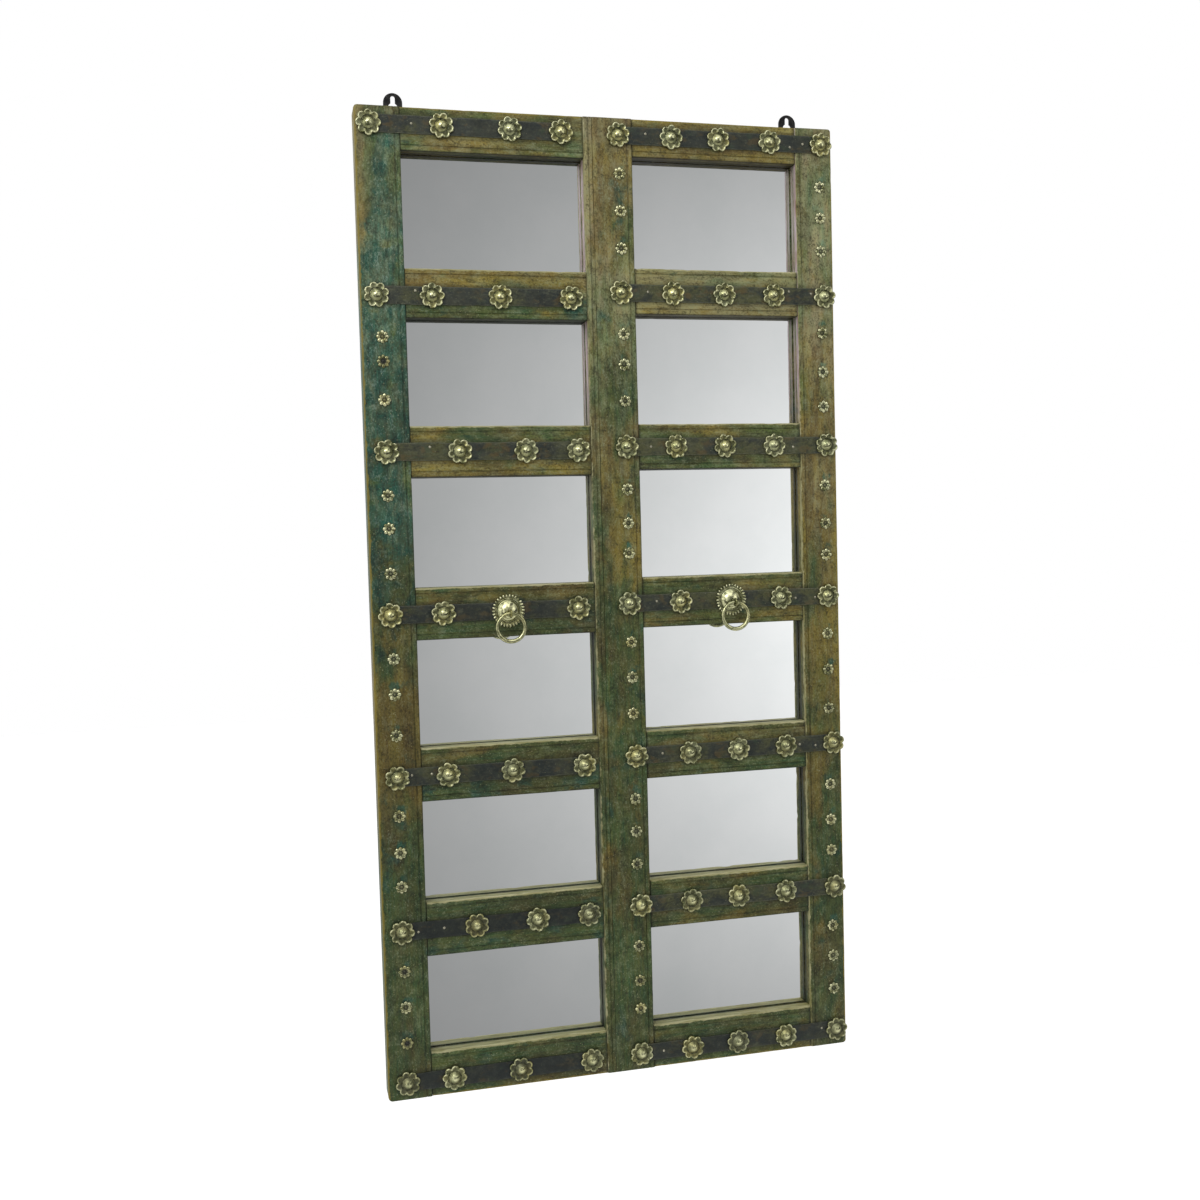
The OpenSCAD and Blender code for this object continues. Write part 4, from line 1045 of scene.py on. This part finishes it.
def silverPane(side, bay):  # the silver as it shows through the glass, set back from the rebate's lip
    low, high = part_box(f"{side}_mirror_{bay}")
    across, up = paneShape["cells"]
    front, back = -paneShape["silverDepth"] * mm, -paneShape["backDepth"] * mm
    points, faces = [], []
    for depth in (front, back):
        for j in range(up + 1):
            for i in range(across + 1):
                points.append((low.x + (high.x - low.x) * i / across, depth,
                               low.z + (high.z - low.z) * j / up))
    n, layer = across + 1, (across + 1) * (up + 1)
    for j in range(up):
        for i in range(across):
            a = j * n + i
            faces.append((a, a + 1, a + n + 1, a + n))
            faces.append((a + layer, a + n + layer, a + n + 1 + layer, a + 1 + layer))
    rim = ([i for i in range(across)] + [j * n + across for j in range(up)]
           + [up * n + i for i in range(across, 0, -1)] + [j * n for j in range(up, 0, -1)])
    for a, b in zip(rim, rim[1:] + rim[:1]):
        faces.append((a, a + layer, b + layer, b))
    piece = makePiece(f"{side}_silver_{bay}", points, faces, silver, "leaves", 30)
    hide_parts(f"{side}_mirror_{bay}")


def dress(names, material):
    for name in names:
        mesh = nodes[name].data
        mesh.materials.clear()
        mesh.materials.append(material)


silver = silverMaterial()
for bay in range(1, 7):
    silverPane("left", bay)
    silverPane("right", bay)
dress(["backing_boards"], boardMaterial())
dress(["glazing_beads"], beadMaterial())
dress(["left_hanger", "right_hanger"], steelMaterial("blackSteel"))
dress(["hanger_screws", "lap_screws"], steelMaterial("screwSteel"))
dress(["strap_nails"], steelMaterial("nailIron"))
dress(["left_ring_eye", "right_ring_eye"], ringBrass)
print("panes, back and small metal dressed")


studio = {
    "floorZ": -1.4, "key": 31.0, "keyPlace": (-1.9, -2.3, 2.1), "keySize": 1.3,
    "fill": 9.0, "fillPlace": (2.4, -2.2, 0.6), "fillSize": 1.6, "ambient": 0.5,
    "floorColours": ("#f4f4f2", "#fafaf8"), "floorGlow": 0.6, "floorReach": 9.0,
    "floorNearEdge": -1.25,  # it ends in front before the panes would show it
}
paneLight = {  # what the panes mirror, by a ray's slope to the side and up
    "sideReach": (-0.4, 0.45), "upReach": (-0.5, 0.5), "middle": (1.079, 0.587), "lean": (3.285, 0.19),
    "fall": (0.484, 0.037), "bend": 1.5, "least": 0.2, "contrast": 2.2, "leftLift": 0.6,
    "shade": (-0.16, -0.96, -0.22), "shadeLevel": 0.06, "belowLevel": 0.16,
}
metalLight = {"patchScale": 2.3, "patchLevels": (0.2, 2.0), "lean": 0.8, "slantLevels": (0.08, 1.25)}
cameraView = {
    "lens": 38.75, "place": (-0.6126, -2.3673, 0.1294),
    "ahead": (0.24287, 0.96871, -0.05109), "up": (0.03845, 0.04301, 0.99833),
}


def seenDirectly(tree):  # 1 where the camera, metal or glass looks at the backdrop
    ray = tree.nodes.new("ShaderNodeLightPath").outputs
    seen = calc(tree, "MAXIMUM", ray["Is Camera Ray"], ray["Is Glossy Ray"])
    return calc(tree, "MAXIMUM", seen, ray["Is Transmission Ray"]), ray["Is Camera Ray"]


def onLine(tree, value, slope, offset):
    return calc(tree, "ADD", calc(tree, "MULTIPLY", value, slope), offset)


def keepWithin(tree, value, low, high):
    return calc(tree, "MAXIMUM", calc(tree, "MINIMUM", value, high), low)


def buildWorld():
    world = bpy.data.worlds.new("studio")
    bpy.context.scene.world = world
    world.use_nodes = True
    tree = world.node_tree
    tree.nodes.clear()
    seen, camera = seenDirectly(tree)
    way = tree.nodes.new("ShaderNodeTexCoord").outputs["Generated"]
    x, y, z = (addNode(tree, "ShaderNodeSeparateXYZ", None, {0: way}).outputs[k] for k in range(3))
    ahead = calc(tree, "MAXIMUM", calc(tree, "MULTIPLY", y, -1.0), 0.25)
    pane, metal = paneLight, metalLight
    side = keepWithin(tree, calc(tree, "DIVIDE", x, ahead), *pane["sideReach"])
    rise = keepWithin(tree, calc(tree, "DIVIDE", z, ahead), *pane["upReach"])
    middle = onLine(tree, side, *pane["middle"])
    lean = calc(tree, "ABSOLUTE", onLine(tree, rise, *pane["lean"]))
    bent = calc(tree, "POWER", lean, pane["bend"])
    fall = calc(tree, "MULTIPLY", bent, onLine(tree, side, *pane["fall"]))
    level = calc(tree, "MAXIMUM", calc(tree, "SUBTRACT", middle, fall), pane["least"])
    level = calc(tree, "POWER", level, pane["contrast"])
    left = fitRange(tree, side, 0.03, -0.2)
    level = calc(tree, "ADD", level, calc(tree, "MULTIPLY", left, pane["leftLift"]))
    away = addNode(tree, "ShaderNodeVectorMath", {"operation": "DISTANCE"},
                   {0: way, 1: Vector(pane["shade"]).normalized()}).outputs["Value"]
    level = calc(tree, "MULTIPLY", level, fitRange(tree, away, 0.08, 0.26, pane["shadeLevel"], 1.0))
    level = calc(tree, "MULTIPLY", level, fitRange(tree, z, -0.4, -0.62, 1.0, pane["belowLevel"]))
    cloud = noiseAt(tree, way, metal["patchScale"], 1.5, 0.5)
    patches = fitRange(tree, cloud, 0.42, 0.58, *metal["patchLevels"])
    slant = calc(tree, "SUBTRACT", z, calc(tree, "MULTIPLY", x, metal["lean"]))
    patches = calc(tree, "MULTIPLY", patches, fitRange(tree, slant, -0.75, 0.6, *metal["slantLevels"]))
    wide = calc(tree, "ABSOLUTE", calc(tree, "SUBTRACT", calc(tree, "DIVIDE", x, ahead), 0.05))
    beside = calc(tree, "MAXIMUM", fitRange(tree, wide, 0.55, 0.9), fitRange(tree, z, 0.36, 0.55))
    beside = calc(tree, "MAXIMUM", beside, fitRange(tree, z, -0.45, -0.6))  # outside the panes' window
    level = blendValue(tree, beside, level, patches)
    behind = fitRange(tree, y, -0.25, 0.1)
    grey = blendValue(tree, behind, level, 1.0)
    grey = blendValue(tree, camera, grey, 1.0)
    strength = blendValue(tree, seen, studio["ambient"], grey)
    back = addNode(tree, "ShaderNodeBackground", None, {"Color": (1, 1, 1, 1), "Strength": strength})
    out = tree.nodes.new("ShaderNodeOutputWorld")
    tree.links.new(back.outputs[0], out.inputs[0])


def buildFloor():
    material, tree, shader, place = newMaterial("paleFloor")
    seen, camera = seenDirectly(tree)
    speckle = noiseAt(tree, place, 3.0, 3.0)
    dim, bright = (paint(text) for text in studio["floorColours"])
    tree.links.new(blendColour(tree, speckle, dim, bright), shader.inputs["Base Color"])
    shader.inputs["Roughness"].default_value = 0.8
    tree.links.new(calc(tree, "MULTIPLY", seen, studio["floorGlow"]), shader.inputs["Emission Strength"])
    shader.inputs["Emission Color"].default_value = (1, 1, 1, 1)
    mesh = bpy.data.meshes.new("floor")
    r, nearEdge = studio["floorReach"], studio["floorNearEdge"]
    mesh.from_pydata([(-r, nearEdge, 0), (r, nearEdge, 0), (r, r, 0), (-r, r, 0)], [], [(0, 1, 2, 3)])
    mesh.materials.append(material)
    floor = bpy.data.objects.new("floor", mesh)
    floor.location.z = studio["floorZ"]
    bpy.context.scene.collection.objects.link(floor)


def addLamp(name, place, size, power, target=(0, 0, 0)):
    data = bpy.data.lights.new(name, "AREA")
    data.shape = "DISK"
    data.size = size
    data.energy = power
    lamp = bpy.data.objects.new(name, data)
    lamp.location = place
    lamp.rotation_euler = (Vector(target) - Vector(place)).to_track_quat("-Z", "Y").to_euler()
    bpy.context.scene.collection.objects.link(lamp)


def addCamera():
    data = bpy.data.cameras.new("view")
    data.sensor_width = 36.0
    data.lens = cameraView["lens"]
    data.clip_end = 100.0
    camera = bpy.data.objects.new("view", data)
    bpy.context.scene.collection.objects.link(camera)
    ahead = Vector(cameraView["ahead"]).normalized()
    up = Vector(cameraView["up"])
    side = ahead.cross(up).normalized()
    up = side.cross(ahead)
    turn = Matrix((side, up, -ahead)).transposed()
    camera.matrix_world = Matrix.Translation(cameraView["place"]) @ turn.to_4x4()
    bpy.context.scene.camera = camera


buildWorld()
buildFloor()
addLamp("keyLamp", studio["keyPlace"], studio["keySize"], studio["key"])
addLamp("fillLamp", studio["fillPlace"], studio["fillSize"], studio["fill"])
addCamera()
bpy.context.scene.view_settings.view_transform = "Standard"
print("studio ready")
